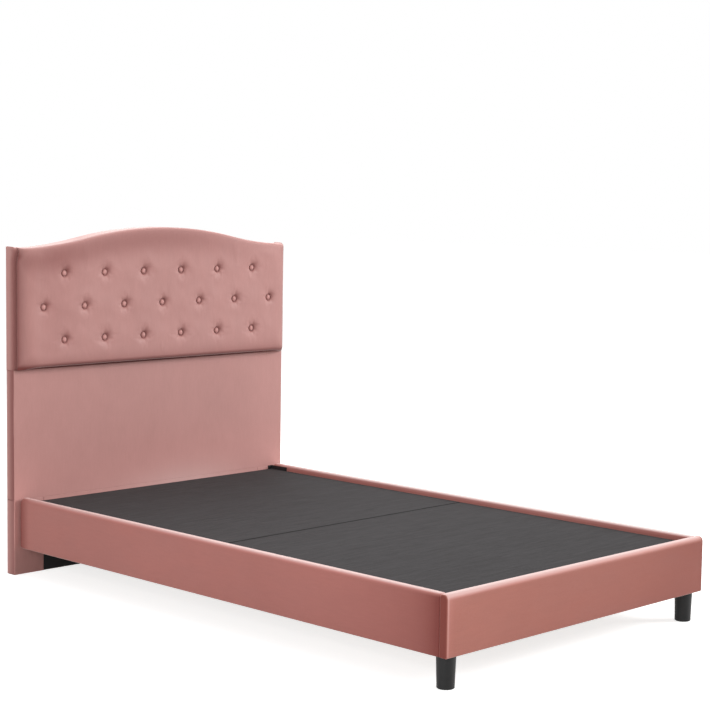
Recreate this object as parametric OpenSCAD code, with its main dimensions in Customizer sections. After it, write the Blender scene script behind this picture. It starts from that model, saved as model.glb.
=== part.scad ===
// Upholstered bed for one mattress: an arched, button-tufted headboard in three modules,
// velvet-covered rails, two lift-out deck panels, a cross beam with a levelling centre leg
// and two round feet. The origin is on the floor, below the middle of the bed; the headboard
// is at +Y and the foot rail at -Y. Millimetres.

/* [Mattress space] */
// Width between the side rails
clear_w = 1200; // [900:10:1600]
// Length from the headboard's face to the foot rail
clear_l = 2020; // [1900:10:2200]

/* [Rails] */
// Height of the rails' lower edge above the floor, which is also the feet's height
foot_h = 97; // [80:1:160]
// Height of a rail from lower to upper edge
rail_h = 182; // [160:1:240]
// Thickness of the board inside a rail
rail_board_t = 18; // [15:1:25]
// Foam and velvet on a rail's outer side
rail_foam_t = 9; // [6:0.5:12]
// Velvet folded over a rail's inner side
rail_lining_t = 3; // [2:0.5:5]
// Padding over a rail's upper, lower and end edges
rail_wrap_t = 5; // [4:0.5:6]
// Radius of a rail's long edges
edge_r = 8; // [6:0.5:10]
// Radius of a rail's corners at the headboard, seen from the side
end_r = 20; // [16:1:30]
// Radius of the foot rail's corners, seen from the foot end
foot_end_r = 14; // [12:1:20]
// Gap between a rail's end and the headboard
rail_gap = 3; // [1:0.5:8]

/* [Deck panels] */
// How far the panels lie below the rails' upper edge
deck_drop = 19; // [10:1:40]
// Distance from the headboard's face to the seam between the panels
deck_split = 1030; // [900:5:1150]
// Thickness of the board on top of a panel
deck_board_t = 9; // [6:1:15]
// Height of the timber frame under that board
deck_frame_t = 19; // [15:1:30]
// Thickness of the cloth round a panel
deck_cloth_t = 2; // [1:0.5:3]
// Gap between the panels and the rails at each side
deck_side_gap = 8; // [6:1:12]
// Gap between the panels and the headboard or the foot rail
deck_end_gap = 8; // [6:1:12]
// Gap between the two panels
deck_seam_gap = 2; // [1:0.5:4]
// Width of the panels' battens
deck_batten_w = 45; // [30:1:60]
// Largest distance between the centres of the cross battens
deck_batten_pitch = 200; // [150:10:250]

/* [Headboard] */
// How far the headboard reaches past each side rail
hb_overhang = 20; // [10:1:60]
// Thickness of the middle and base modules
hb_t = 46; // [40:1:60]
// Height of the base module
base_h = 270; // [255:1:290]
// Height of the lower edge of the tufted module
pad_z = 737; // [650:1:800]
// Height of the headboard at its two sides
shoulder_z = 1173; // [1160:1:1300]
// Rise of the arch above the sides
arch_rise = 69; // [20:1:120]
// Share of the half width that the arch's crown takes, before it turns into the shoulder
crown_share = 0.55; // [0.3:0.01:0.8]
// Thickness of the headboard's boards
hb_board_t = 15; // [12:1:18]
// Width of the battens behind the boards
hb_batten_w = 45; // [40:1:60]
// Width of the two posts in the base module
base_post_w = 100; // [90:1:140]
// Distance from the middle to the inner battens
stud_x = 215; // [150:5:300]
// Padding and velvet on the middle module
middle_skin_t = 5; // [3:0.5:8]
// Velvet on the base module
base_skin_t = 3; // [2:0.5:5]
// Radius of the middle and base modules' front corners
skin_r = 6; // [5.5:0.5:8]
// Width of the velvet on each side of the base module's front
base_velvet_w = 127; // [110:1:200]
// Thickness of the lining cloth
lining_t = 1; // [0.8:0.1:2]

/* [Tufted pad] */
// Thickness of the side band
band_t = 3; // [2:0.5:5]
// How far the seam round the pad stands in front of the middle module's face
seam_proud = 12; // [8:1:30]
// How far the pad's crown stands in front of its seam
crown_h = 34; // [20:1:50]
// Distance over which the pad rolls from its seam to its crown
roll_w = 70; // [50:1:80]
// Distance between the buttons in a row
button_dx = 181; // [150:1:220]
// Distance between the rows of buttons
button_dz = 120; // [100:1:125]
// Rows of buttons
button_rows = 3; // [1:1:3]
// Height of the lowest row above the pad's lower edge
button_rise = 103; // [100:1:120]
// Least distance from a button to the pad's side
button_margin = 90; // [85:1:140]
// Depth of a tuft
tuft_h = 14; // [8:1:20]
// Reach of a tuft round its button
tuft_r = 34; // [28:1:45]
// Radius of a button
button_r = 12; // [8:0.5:14]
// Height of a button's dome
button_h = 6; // [4:0.5:8]
// Clearance between the pad and its side band
pad_fit = 0.3; // [0.2:0.1:0.6]

/* [Ledges and corner steel] */
// Thickness of the ledges
ledge_t = 30; // [25:1:40]
// Height of the ledges
ledge_h = 40; // [30:1:45]
// Thickness of the corner steel
steel_t = 3; // [2:0.5:4]
// Length of the head bracket's leg on the rail
head_leg_l = 90; // [80:1:120]
// Length of the head bracket's leg on the headboard
head_leg_w = 20; // [16:1:25]
// Height of the head bracket
head_bracket_h = 120; // [100:1:130]
// How far the head bracket stays below the rail's upper edge
head_bracket_drop = 7; // [5:1:12]
// Leg length of the foot bracket
foot_leg_l = 60; // [50:1:80]
// Height of the foot bracket
foot_bracket_h = 44; // [30:1:46]
// Width and depth of a corner block
block_w = 75; // [70:1:100]
// Height of a corner block
block_h = 38; // [34:1:40]

/* [Feet] */
// Radius of a foot at its top
foot_top_r = 29; // [24:1:36]
// Radius of a foot at the floor
foot_floor_r = 26; // [20:1:36]
// Bevel at a foot's lower edge
foot_bevel = 2; // [1:0.5:4]
// Distance from a foot's axis to the bed's side
foot_in_x = 45; // [42:1:60]
// Distance from a foot's axis to the foot rail's outer face
foot_in_y = 41; // [38:1:60]
// Radius of a foot bolt
foot_bolt_r = 4; // [3:0.5:5]
// How far a foot bolt reaches into the block and into the foot
foot_bolt_reach = 30; // [20:1:33]

/* [Centre support] */
// Width of the cross beam
beam_w = 70; // [50:1:90]
// Height of the cross beam
beam_h = 35; // [30:1:45]
// Width of a beam saddle's ear on each side of the beam
saddle_ear = 25; // [20:1:40]
// Length of a beam saddle's shelf
saddle_l = 40; // [30:1:60]
// Side of the square plate on top of the centre leg
leg_plate_w = 70; // [64:1:90]
// Radius of the centre leg
leg_r = 22; // [18:1:30]
// Wall of the centre leg
leg_wall = 3; // [2:0.5:5]
// Height of the centre leg's lower edge above the floor
leg_clear = 24; // [22:1:35]
// Height of the threaded insert
insert_h = 20; // [15:1:30]
// Radius of the levelling stem
stem_r = 5; // [4:0.5:6]
// Length of the levelling stem
stem_l = 62; // [50:1:80]
// Width across the flats of the stem's nut
stem_nut_w = 17; // [15:1:22]
// Height of the stem's nut
stem_nut_h = 5; // [4:0.5:6]
// Radius of the levelling pad
glide_r = 18; // [14:1:25]
// Height of the levelling pad
glide_h = 9; // [8:0.5:12]
// Clearance round the stem, in the pad and in the insert
stem_fit = 0.06; // [0.03:0.01:0.1]

/* [Joining plates and screws] */
// Thickness of the joining plates
plate_t = 2; // [1.5:0.5:3]
// Width of a joining plate
plate_w = 40; // [30:1:45]
// Length of a joining plate
plate_l = 140; // [130:5:180]
// Radius of a screw's shank
screw_r = 2; // [1.5:0.5:2.5]
// Radius of a screw's head
screw_head_r = 4.5; // [4:0.5:5]
// Height of a screw's head
screw_head_h = 2; // [1.5:0.5:2]
// How far a screw reaches into the wood behind the piece that it holds
screw_bite = 12; // [8:1:14]
// Clearance round a screw's shank in its hole
screw_fit = 0.1; // [0.05:0.05:0.3]
// Largest distance between a ledge's screws
ledge_screw_pitch = 420; // [250:10:600]

/* [Hidden] */
$fn = 48;

velvet = [0.72, 0.47, 0.44];
black_cloth = [0.08, 0.08, 0.085];
deck_cloth = [0.31, 0.30, 0.31];
timber = [0.80, 0.66, 0.47];
panel_wood = [0.72, 0.58, 0.42];
black_steel = [0.06, 0.06, 0.065];
zinc = [0.72, 0.73, 0.75];
black_plastic = [0.10, 0.10, 0.105];

// Rails, from the mattress space outwards
rail_t = rail_board_t + rail_foam_t + rail_lining_t;
inner_x = clear_w / 2;
outer_x = inner_x + rail_t;
rail_top = foot_h + rail_h;

// Places along the bed, with the origin in the middle of the whole length
back_y = (clear_l + rail_t + hb_t + plate_t) / 2;
hb_back = back_y - plate_t;
face_y = hb_back - hb_t;
foot_y = face_y - clear_l;
outer_y = foot_y - rail_t;
seam_y = face_y - deck_split;
rail_end_y = face_y - rail_gap;

// Deck heights
deck_top = rail_top - deck_drop;
deck_low = deck_top - deck_cloth_t - deck_board_t - deck_frame_t;
ledge_low = deck_low - ledge_h;
beam_low = deck_low - beam_h;

// The headboard's arch: a crown arc that meets a shoulder arc at each side, tangent to it
hb_x = outer_x + hb_overhang;
arch_a = 2 * atan(arch_rise / hb_x);
arc_sum = hb_x / sin(arch_a);
crown_r = crown_share * arc_sum;
shoulder_r = arc_sum - crown_r;
arch_top = shoulder_z + arch_rise;
arch_fn = 360;

// Layers of the headboard from its face backwards
cloth_y = hb_back - lining_t;
middle_board_y = face_y + middle_skin_t;
base_board_y = face_y + base_skin_t;
pad_back_y = middle_board_y;
pad_seam_y = face_y - seam_proud;
pad_inset = band_t + pad_fit;

// Buttons: rows of an odd number across, with a shorter row above and below it
side_buttons = floor((hb_x - button_margin) / button_dx);
button_z = [for (i = [0 : button_rows - 1]) pad_z + button_rise + i * button_dz];
function row_shift(i) = i % 2 == 0 ? 0.5 : 0;
buttons = [for (i = [0 : button_rows - 1])
    for (k = [-side_buttons : side_buttons - 2 * row_shift(i)])
        [(k + row_shift(i)) * button_dx, button_z[i]]];

// Screws: what each one holds before it bites into wood
screw_hole_r = screw_r + screw_fit;
ledge_hold = ledge_t + rail_lining_t;
board_hold = steel_t + base_skin_t + hb_board_t;
rail_hold = steel_t + rail_lining_t;
back_hold = plate_t + lining_t;

// Ledges: the side ledges stop short of the head brackets
bracket_room = 10;
side_ledge_y = [foot_y, face_y - head_leg_l - bracket_room];
end_ledge_x = inner_x - ledge_t;
ledge_z = deck_low - ledge_h / 2;
ledge_screw_in = 40;

// Head brackets, and the distance of their screws from their edges
bracket_top = rail_top - head_bracket_drop;
bracket_low = bracket_top - head_bracket_h;
bracket_screw_in = 22;
bracket_screw_z = [bracket_low + bracket_screw_in, bracket_top - bracket_screw_in];
bracket_screw_y = [face_y - head_leg_l + bracket_screw_in, face_y - head_leg_w - bracket_screw_in];

// Foot brackets, between the corner blocks and the ledges
block_gap = 4;
foot_bracket_low = foot_h + block_h + block_gap;
foot_bracket_z = foot_bracket_low + foot_bracket_h / 2;
foot_screw_in = 12;
foot_bracket_screw_d = [foot_leg_l / 2, foot_leg_l - foot_screw_in];

foot_x = outer_x - foot_in_x;
foot_axis_y = outer_y + foot_in_y;

// Cross beam, its saddles and the top of the centre leg
beam_x = end_ledge_x - steel_t;
beam_y = [seam_y - beam_w / 2, seam_y + beam_w / 2];
saddle_low = beam_low - steel_t;
leg_top = beam_low - steel_t;
leg_screw_in = 9;
leg_screw_d = leg_plate_w / 2 - leg_screw_in;

// Solid top of the leg's tube, and the floor of the socket in the levelling pad
leg_roof = 12;
stem_low = 3;

// Joining plates: distances of their screws from the joint between two modules
plate_screw_dz = [hb_batten_w / 2, plate_l / 2 - 2 * screw_head_r];

// Deck panels
deck_x = inner_x - deck_side_gap;
deck_head_y = [seam_y + deck_seam_gap / 2, face_y - deck_end_gap];
deck_foot_y = [foot_y + deck_end_gap, seam_y - deck_seam_gap / 2];
deck_frame_top = deck_low + deck_frame_t;

// One box between two opposite corners
module block(low, high) {
    translate(low) cube(high - low);
}

// A front outline, drawn in X and Z, that fills the depth from y0 to y1
module slab(y0, y1) {
    translate([0, y1, 0]) rotate([90, 0, 0]) linear_extrude(y1 - y0) children();
}

// A rectangle with round corners
module rounded(low, high, r) {
    translate([low.x + r, low.y]) square([high.x - low.x - 2 * r, high.y - low.y]);
    translate([low.x, low.y + r]) square([high.x - low.x, high.y - low.y - 2 * r]);
    for (x = [low.x + r, high.x - r], y = [low.y + r, high.y - r]) translate([x, y]) circle(r);
}

module on_left() {
    mirror([1, 0, 0]) children();
}

module both_sides() {
    children();
    on_left() children();
}

// A pan-head screw whose head stands on the plane z = 0 and whose shank points to -Z
module screw(hold) {
    cylinder(r = screw_head_r, h = screw_head_h);
    translate([0, 0, -hold - screw_bite]) cylinder(r = screw_r, h = hold + screw_bite);
}

module screw_hole(hold) {
    depth = hold + screw_bite + screw_fit;
    translate([0, 0, -depth]) cylinder(r = screw_hole_r, h = depth + screw_fit);
}

// The arch's height at a distance x from the middle, drawn in by an inset
function arch_z(x, inset = 0) =
    let (a = abs(x), r = crown_r - inset, s = shoulder_r + inset)
    a < r * sin(arch_a)
        ? arch_top - crown_r + sqrt(r * r - a * a)
        : shoulder_z + shoulder_r - sqrt(s * s - (hb_x - a) * (hb_x - a));

// The tufted module's outline, drawn in by an inset at its sides and its arch
module arch_outline(low, inset = 0) {
    r = crown_r - inset;
    turn_z = arch_top - crown_r + r * cos(arch_a);
    difference() {
        translate([inset - hb_x, low]) square([2 * (hb_x - inset), turn_z - low]);
        for (side = [-1, 1])
            translate([side * hb_x, shoulder_z + shoulder_r]) circle(shoulder_r + inset, $fn = arch_fn);
    }
    intersection() {
        translate([0, arch_top - crown_r]) circle(r, $fn = arch_fn);
        translate([inset - hb_x, low]) square([2 * (hb_x - inset), arch_top - low]);
    }
}

// Sewn tufts and crown of the pad
function roll(d) = let (t = min(1, max(0, d / roll_w))) sqrt(1 - (1 - t) * (1 - t));

function tufts(x, z, i = 0) = i == len(buttons) ? 0
    : let (r = norm([x, z] - buttons[i]) / tuft_r) exp(-r * r) + tufts(x, z, i + 1);

function pad_y(x, z) =
    let (edge = pad_x - abs(x), top = arch_z(x, pad_inset) - z)
    pad_seam_y - crown_h * roll(edge) * roll(min(z - pad_z, top)) + tuft_h * tufts(x, z);

// Columns of the pad's net: close together at the sides, then six to each button
pad_x = hb_x - pad_inset;
roll_steps = [0, 0.06, 0.22, 0.5, 0.8];
fine_dx = button_dx / 6;
fine_n = floor((pad_x - roll_w) / fine_dx);
pad_columns = concat(
    [for (s = roll_steps) s * roll_w - pad_x],
    [for (k = [-fine_n : fine_n]) k * fine_dx],
    [for (i = [len(roll_steps) - 1 : -1 : 0]) pad_x - roll_steps[i] * roll_w]);

// Rows: the rolled lower edge, four to each row of buttons, then shares of the way to the arch
fine_dz = button_dz / 4;
top_button_z = button_z[button_rows - 1];
top_shares = [0.2, 0.4, 0.6, 0.8, 0.92, 0.98, 1];
low_rows = concat(
    [for (s = roll_steps) pad_z + s * roll_w],
    [for (k = [-1 : 4 * (button_rows - 1)]) button_z[0] + k * fine_dz]);
function column_z(x) = concat(low_rows,
    [for (f = top_shares) top_button_z + f * (arch_z(x, pad_inset) - top_button_z)]);

pad_net = [for (x = pad_columns) [for (z = column_z(x)) [x, pad_y(x, z), z]]];
pad_nx = len(pad_columns);
pad_nz = len(pad_net[0]);

// The pad's rim, once round from the lower left corner, as [column, row]
pad_rim = concat(
    [for (i = [0 : pad_nx - 1]) [i, 0]],
    [for (j = [1 : pad_nz - 1]) [pad_nx - 1, j]],
    [for (i = [pad_nx - 2 : -1 : 0]) [i, pad_nz - 1]],
    [for (j = [pad_nz - 2 : -1 : 1]) [0, j]]);
rim_n = len(pad_rim);
back_0 = pad_nx * pad_nz;

module pad_solid() {
    points = concat(
        [for (column = pad_net) each column],
        [for (r = pad_rim) let (p = pad_net[r[0]][r[1]]) [p.x, pad_back_y, p.z]]);
    function at(i, j) = i * pad_nz + j;
    function low_back(i) = back_0 + i;
    function high_back(i) = back_0 + 2 * (pad_nx - 1) + pad_nz - 1 - i;
    function right_back(j) = back_0 + pad_nx - 1 + j;
    function left_back(j) = j == 0 ? back_0 : back_0 + rim_n - j;
    front = [for (i = [0 : pad_nx - 2], j = [0 : pad_nz - 2])
        each [[at(i, j), at(i, j + 1), at(i + 1, j + 1)], [at(i, j), at(i + 1, j + 1), at(i + 1, j)]]];
    walls = [for (k = [0 : rim_n - 1])
        let (a = pad_rim[k], b = pad_rim[(k + 1) % rim_n], c = back_0 + k, d = back_0 + (k + 1) % rim_n)
        each [[at(a[0], a[1]), at(b[0], b[1]), d], [at(a[0], a[1]), d, c]]];
    back = [for (i = [1 : pad_nx - 3])
        each [[low_back(i), low_back(i + 1), high_back(i + 1)],
            [low_back(i), high_back(i + 1), high_back(i)]]];
    left_fan = concat([[low_back(0), low_back(1), left_back(1)]],
        [for (j = [1 : pad_nz - 2]) [left_back(j), low_back(1), left_back(j + 1)]],
        [[left_back(pad_nz - 1), low_back(1), high_back(1)]]);
    right_fan = concat([[low_back(pad_nx - 2), low_back(pad_nx - 1), right_back(1)]],
        [for (j = [1 : pad_nz - 2]) [low_back(pad_nx - 2), right_back(j), right_back(j + 1)]],
        [[low_back(pad_nx - 2), right_back(pad_nz - 1), high_back(pad_nx - 2)]]);
    polyhedron(points, concat(front, walls, back, left_fan, right_fan), convexity = 6);
}

module tufted_pad() {
    color(velvet) pad_solid();
}

// The most that the pad's net rises from a tuft's lowest point at a distance r: its facets there
// are steepest halfway between a column and a row
function tuft_rise(r) = sqrt(2) * tuft_h * (1 - exp(-pow(fine_dz / tuft_r, 2))) * r / fine_dz;

// The buttons' shank, and their clearance to the pad
button_shank_r = 2;
button_seat = 0.3;

// A covered button: a shallow dome on a rim, with the start of its shank behind it
module button() {
    dome_r = (button_r * button_r + button_h * button_h) / (2 * button_h);
    rim_h = 1.5;
    shank_l = tuft_rise(button_r) - tuft_rise(button_shank_r);
    rotate_extrude() {
        intersection() {
            translate([0, rim_h + button_h - dome_r]) circle(dome_r);
            translate([0, rim_h]) square([button_r, button_h]);
        }
        square([button_r, rim_h]);
        translate([0, -shank_l]) square([button_shank_r, shank_l]);
    }
}

module tuft_buttons() {
    stand = tuft_rise(button_r) + button_seat;
    color(velvet) for (b = buttons)
        translate([b.x, pad_y(b.x, b.y) - stand, b.y]) rotate([90, 0, 0]) button();
}

module top_board() {
    color(panel_wood) slab(pad_back_y, pad_back_y + hb_board_t) arch_outline(pad_z, band_t);
}

// Battens behind a board: one along each edge and studs between them
module batten_frame(y0, half_w, z0, z1, post_w) {
    for (z = [z0, z1 - hb_batten_w])
        block([-half_w, y0, z], [half_w, cloth_y, z + hb_batten_w]);
    both_sides() {
        block([half_w - post_w, y0, z0 + hb_batten_w], [half_w, cloth_y, z1 - hb_batten_w]);
        block([stud_x - hb_batten_w / 2, y0, z0 + hb_batten_w],
            [stud_x + hb_batten_w / 2, cloth_y, z1 - hb_batten_w]);
    }
}

// The battens of the tufted module, with a sawn batten that follows the arch on top of them
module top_frame() {
    y = pad_back_y + hb_board_t;
    straight_z = shoulder_z - 2 * hb_batten_w;
    color(timber) difference() {
        union() {
            batten_frame(y, hb_x - band_t, pad_z, straight_z, hb_batten_w);
            slab(y, cloth_y) difference() {
                arch_outline(straight_z, band_t);
                arch_outline(straight_z - hb_batten_w, band_t + hb_batten_w);
            }
        }
        plate_screw_places() screw_hole(back_hold);
    }
}

module middle_frame() {
    color(timber) difference() {
        batten_frame(middle_board_y + hb_board_t, hb_x - middle_skin_t, base_h, pad_z, hb_batten_w);
        plate_screw_places() screw_hole(back_hold);
    }
}

module base_frame() {
    color(timber) difference() {
        batten_frame(base_board_y + hb_board_t, hb_x - base_skin_t, 0, base_h, base_post_w);
        plate_screw_places() screw_hole(back_hold);
        both_sides() head_bracket_board_screws() screw_hole(board_hold);
    }
}

// The velvet band that goes up one side, over the arch and down the other
module top_band() {
    color(velvet) slab(pad_seam_y, cloth_y) difference() {
        arch_outline(pad_z);
        arch_outline(pad_z - band_t, band_t);
    }
}

module middle_board() {
    x = hb_x - middle_skin_t;
    color(panel_wood) block([-x, middle_board_y, base_h], [x, middle_board_y + hb_board_t, pad_z]);
}

module base_board() {
    x = hb_x - base_skin_t;
    color(panel_wood) difference() {
        block([-x, base_board_y, 0], [x, base_board_y + hb_board_t, base_h]);
        both_sides() head_bracket_board_screws() screw_hole(board_hold);
        head_ledge_screws() screw_hole(ledge_hold);
    }
}

// Velvet wrapped round the front and the sides of a flat module, seen from above
module wrap_outline(skin) {
    difference() {
        intersection() {
            rounded([-hb_x, face_y], [hb_x, hb_back + hb_t], skin_r);
            translate([-hb_x, face_y]) square([2 * hb_x, cloth_y - face_y]);
        }
        translate([skin - hb_x, face_y + skin]) square([2 * (hb_x - skin), hb_t]);
    }
}

module middle_cover() {
    color(velvet) translate([0, 0, base_h]) linear_extrude(pad_z - base_h) wrap_outline(middle_skin_t);
}

module base_side_cover() {
    color(velvet) difference() {
        linear_extrude(base_h) intersection() {
            wrap_outline(base_skin_t);
            translate([hb_x - base_velvet_w, face_y]) square([base_velvet_w, hb_t]);
        }
        head_bracket_board_screws() screw_hole(board_hold);
        head_ledge_screws() screw_hole(ledge_hold);
    }
}

module base_right_cover() {
    base_side_cover();
}

module base_left_cover() {
    on_left() base_side_cover();
}

// Velvet across the base module's front, from the head ledge's lower edge up
module base_front_band() {
    x = hb_x - base_velvet_w;
    color(velvet) difference() {
        block([-x, face_y, ledge_low], [x, base_board_y, base_h]);
        head_ledge_screws() screw_hole(ledge_hold);
    }
}

module base_front_cloth() {
    x = hb_x - base_velvet_w;
    color(black_cloth) block([-x, base_board_y - lining_t, 0], [x, base_board_y, ledge_low]);
}

module top_back_cloth() {
    color(black_cloth) difference() {
        slab(cloth_y, hb_back) arch_outline(pad_z);
        plate_screw_places() screw_hole(back_hold);
    }
}

module flat_back_cloth(z0, z1) {
    color(black_cloth) difference() {
        block([-hb_x, cloth_y, z0], [hb_x, hb_back, z1]);
        plate_screw_places() screw_hole(back_hold);
    }
}

module middle_back_cloth() {
    flat_back_cloth(base_h, pad_z);
}

module base_back_cloth() {
    flat_back_cloth(0, base_h);
}

// Steel plates across the joints between the modules, on the inner studs
module plate_screw_places() {
    both_sides() for (z = [base_h, pad_z], side = [-1, 1], dz = plate_screw_dz)
        translate([stud_x, back_y, z + side * dz]) rotate([-90, 0, 0]) children();
}

module joining_plates() {
    color(zinc) difference() {
        both_sides() for (z = [base_h, pad_z])
            block([stud_x - plate_w / 2, hb_back, z - plate_l / 2],
                [stud_x + plate_w / 2, back_y, z + plate_l / 2]);
        plate_screw_places() screw_hole(back_hold);
    }
}

// Flush-headed screws: the shank alone, ending level with the plate
module plate_screws() {
    color(zinc) plate_screw_places()
        translate([0, 0, -back_hold - screw_bite]) cylinder(r = screw_r, h = back_hold + screw_bite);
}

// Right rail: its cross section runs along Y and its side view has round corners at the head
module rail_side_view(inset) {
    translate([inner_x, 0, 0]) rotate([90, 0, 90]) linear_extrude(rail_t)
        rounded([foot_y - 2 * end_r, foot_h + inset], [rail_end_y - inset, rail_top - inset],
            end_r - inset);
}

module rail_board_blank() {
    intersection() {
        block([inner_x + rail_lining_t, foot_y, foot_h],
            [outer_x - rail_foam_t, rail_end_y, rail_top]);
        rail_side_view(rail_wrap_t);
    }
}

module rail_fixing_holes() {
    side_ledge_screws() screw_hole(ledge_hold);
    head_bracket_rail_screws() screw_hole(rail_hold);
    foot_bracket_rail_screws() screw_hole(rail_hold);
}

module rail_board() {
    color(panel_wood) difference() {
        rail_board_blank();
        rail_fixing_holes();
    }
}

module rail_cover() {
    color(velvet) difference() {
        intersection() {
            slab(foot_y, rail_end_y) rounded([inner_x, foot_h], [outer_x, rail_top], edge_r);
            rail_side_view(0);
        }
        rail_board_blank();
        rail_fixing_holes();
    }
}

module right_rail_board() {
    rail_board();
}

module left_rail_board() {
    on_left() rail_board();
}

module right_rail_cover() {
    rail_cover();
}

module left_rail_cover() {
    on_left() rail_cover();
}

module foot_board_blank() {
    slab(outer_y + rail_foam_t, foot_y - rail_lining_t)
        rounded([rail_wrap_t - outer_x, foot_h + rail_wrap_t],
            [outer_x - rail_wrap_t, rail_top - rail_wrap_t], foot_end_r - rail_wrap_t);
}

module foot_fixing_holes() {
    foot_ledge_screws() screw_hole(ledge_hold);
    both_sides() foot_bracket_foot_screws() screw_hole(rail_hold);
}

module foot_rail_board() {
    color(panel_wood) difference() {
        foot_board_blank();
        foot_fixing_holes();
    }
}

module foot_rail_cover() {
    color(velvet) difference() {
        intersection() {
            translate([-outer_x, 0, 0]) rotate([90, 0, 90]) linear_extrude(2 * outer_x)
                rounded([outer_y, foot_h], [foot_y, rail_top], edge_r);
            slab(outer_y, foot_y)
                rounded([-outer_x, foot_h], [outer_x, rail_top], foot_end_r);
        }
        foot_board_blank();
        foot_fixing_holes();
    }
}

// Evenly spaced places from one end to the other, no further apart than a pitch
function spread(a, b, pitch) =
    let (n = max(1, ceil((b - a) / pitch))) [for (i = [0 : n]) a + i * (b - a) / n];

// A side ledge's screws, on both sides of the beam's saddle
saddle_room = beam_w / 2 + saddle_ear + ledge_screw_in;
side_screw_y = concat(
    spread(side_ledge_y[0] + ledge_screw_in, seam_y - saddle_room, ledge_screw_pitch),
    spread(seam_y + saddle_room, side_ledge_y[1] - ledge_screw_in, ledge_screw_pitch));
end_screw_x = spread(ledge_screw_in - end_ledge_x, end_ledge_x - ledge_screw_in, ledge_screw_pitch);

module side_ledge_screws() {
    for (y = side_screw_y) translate([inner_x - ledge_t, y, ledge_z]) rotate([0, -90, 0]) children();
}

module head_ledge_screws() {
    for (x = end_screw_x) translate([x, face_y - ledge_t, ledge_z]) rotate([90, 0, 0]) children();
}

module foot_ledge_screws() {
    for (x = end_screw_x) translate([x, foot_y + ledge_t, ledge_z]) rotate([-90, 0, 0]) children();
}

module side_ledge() {
    color(timber) difference() {
        block([inner_x - ledge_t, side_ledge_y[0], ledge_low], [inner_x, side_ledge_y[1], deck_low]);
        side_ledge_screws() screw_hole(ledge_hold);
        saddle_ledge_screws() screw_hole(steel_t);
    }
}

module right_ledge() {
    side_ledge();
}

module left_ledge() {
    on_left() side_ledge();
}

module head_ledge() {
    color(timber) difference() {
        block([-end_ledge_x, face_y - ledge_t, ledge_low], [end_ledge_x, face_y, deck_low]);
        head_ledge_screws() screw_hole(ledge_hold);
    }
}

module foot_ledge() {
    color(timber) difference() {
        block([-end_ledge_x, foot_y, ledge_low], [end_ledge_x, foot_y + ledge_t, deck_low]);
        foot_ledge_screws() screw_hole(ledge_hold);
    }
}

module ledge_screws() {
    color(zinc) {
        both_sides() side_ledge_screws() screw(ledge_hold);
        head_ledge_screws() screw(ledge_hold);
        foot_ledge_screws() screw(ledge_hold);
    }
}

module head_bracket_rail_screws() {
    for (y = bracket_screw_y, z = bracket_screw_z)
        translate([inner_x - steel_t, y, z]) rotate([0, -90, 0]) children();
}

module head_bracket_board_screws() {
    x = inner_x - (head_leg_w + steel_t) / 2;
    for (z = bracket_screw_z) translate([x, face_y - steel_t, z]) rotate([90, 0, 0]) children();
}

module head_brackets() {
    color(black_steel) both_sides() difference() {
        union() {
            block([inner_x - steel_t, face_y - head_leg_l, bracket_low], [inner_x, face_y, bracket_top]);
            block([inner_x - head_leg_w, face_y - steel_t, bracket_low], [inner_x, face_y, bracket_top]);
        }
        head_bracket_rail_screws() screw_hole(steel_t);
        head_bracket_board_screws() screw_hole(steel_t);
    }
}

module head_bracket_screws() {
    color(zinc) both_sides() {
        head_bracket_rail_screws() screw(rail_hold);
        head_bracket_board_screws() screw(board_hold);
    }
}

module foot_bracket_rail_screws() {
    for (d = foot_bracket_screw_d)
        translate([inner_x - steel_t, foot_y + d, foot_bracket_z]) rotate([0, -90, 0]) children();
}

module foot_bracket_foot_screws() {
    for (d = foot_bracket_screw_d)
        translate([inner_x - d, foot_y + steel_t, foot_bracket_z]) rotate([-90, 0, 0]) children();
}

module foot_brackets() {
    high = foot_bracket_low + foot_bracket_h;
    color(black_steel) both_sides() difference() {
        union() {
            block([inner_x - steel_t, foot_y, foot_bracket_low], [inner_x, foot_y + foot_leg_l, high]);
            block([inner_x - foot_leg_l, foot_y, foot_bracket_low], [inner_x, foot_y + steel_t, high]);
        }
        foot_bracket_rail_screws() screw_hole(steel_t);
        foot_bracket_foot_screws() screw_hole(steel_t);
    }
}

module foot_bracket_screws() {
    color(zinc) both_sides() {
        foot_bracket_rail_screws() screw(rail_hold);
        foot_bracket_foot_screws() screw(rail_hold);
    }
}

module foot_bolt(r) {
    translate([foot_x, foot_axis_y, foot_h - foot_bolt_reach]) cylinder(r = r, h = 2 * foot_bolt_reach);
}

module foot_bolts() {
    color(zinc) both_sides() foot_bolt(foot_bolt_r);
}

module corner_blocks() {
    color(timber) both_sides() difference() {
        block([inner_x - block_w, foot_y, foot_h], [inner_x, foot_y + block_w, foot_h + block_h]);
        foot_bolt(foot_bolt_r + screw_fit);
    }
}

module foot() {
    color(black_plastic) difference() {
        translate([foot_x, foot_axis_y, 0]) rotate_extrude() polygon([
            [0, 0], [foot_floor_r - foot_bevel, 0], [foot_floor_r, foot_bevel],
            [foot_top_r, foot_h], [0, foot_h]]);
        foot_bolt(foot_bolt_r + screw_fit);
    }
}

module right_foot() {
    foot();
}

module left_foot() {
    on_left() foot();
}

// Cross beam under the seam between the panels, carried by a saddle on each side ledge
module saddle_ledge_screws() {
    for (side = [-1, 1])
        translate([beam_x, seam_y + side * (beam_w + saddle_ear) / 2, ledge_z])
            rotate([0, -90, 0]) children();
}

module saddle_beam_screws() {
    translate([beam_x - saddle_l / 2, seam_y, saddle_low]) rotate([180, 0, 0]) children();
}

module leg_beam_screws() {
    for (x = [-1, 1], y = [-1, 1])
        translate([x * leg_screw_d, seam_y + y * leg_screw_d, leg_top]) rotate([180, 0, 0]) children();
}

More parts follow.
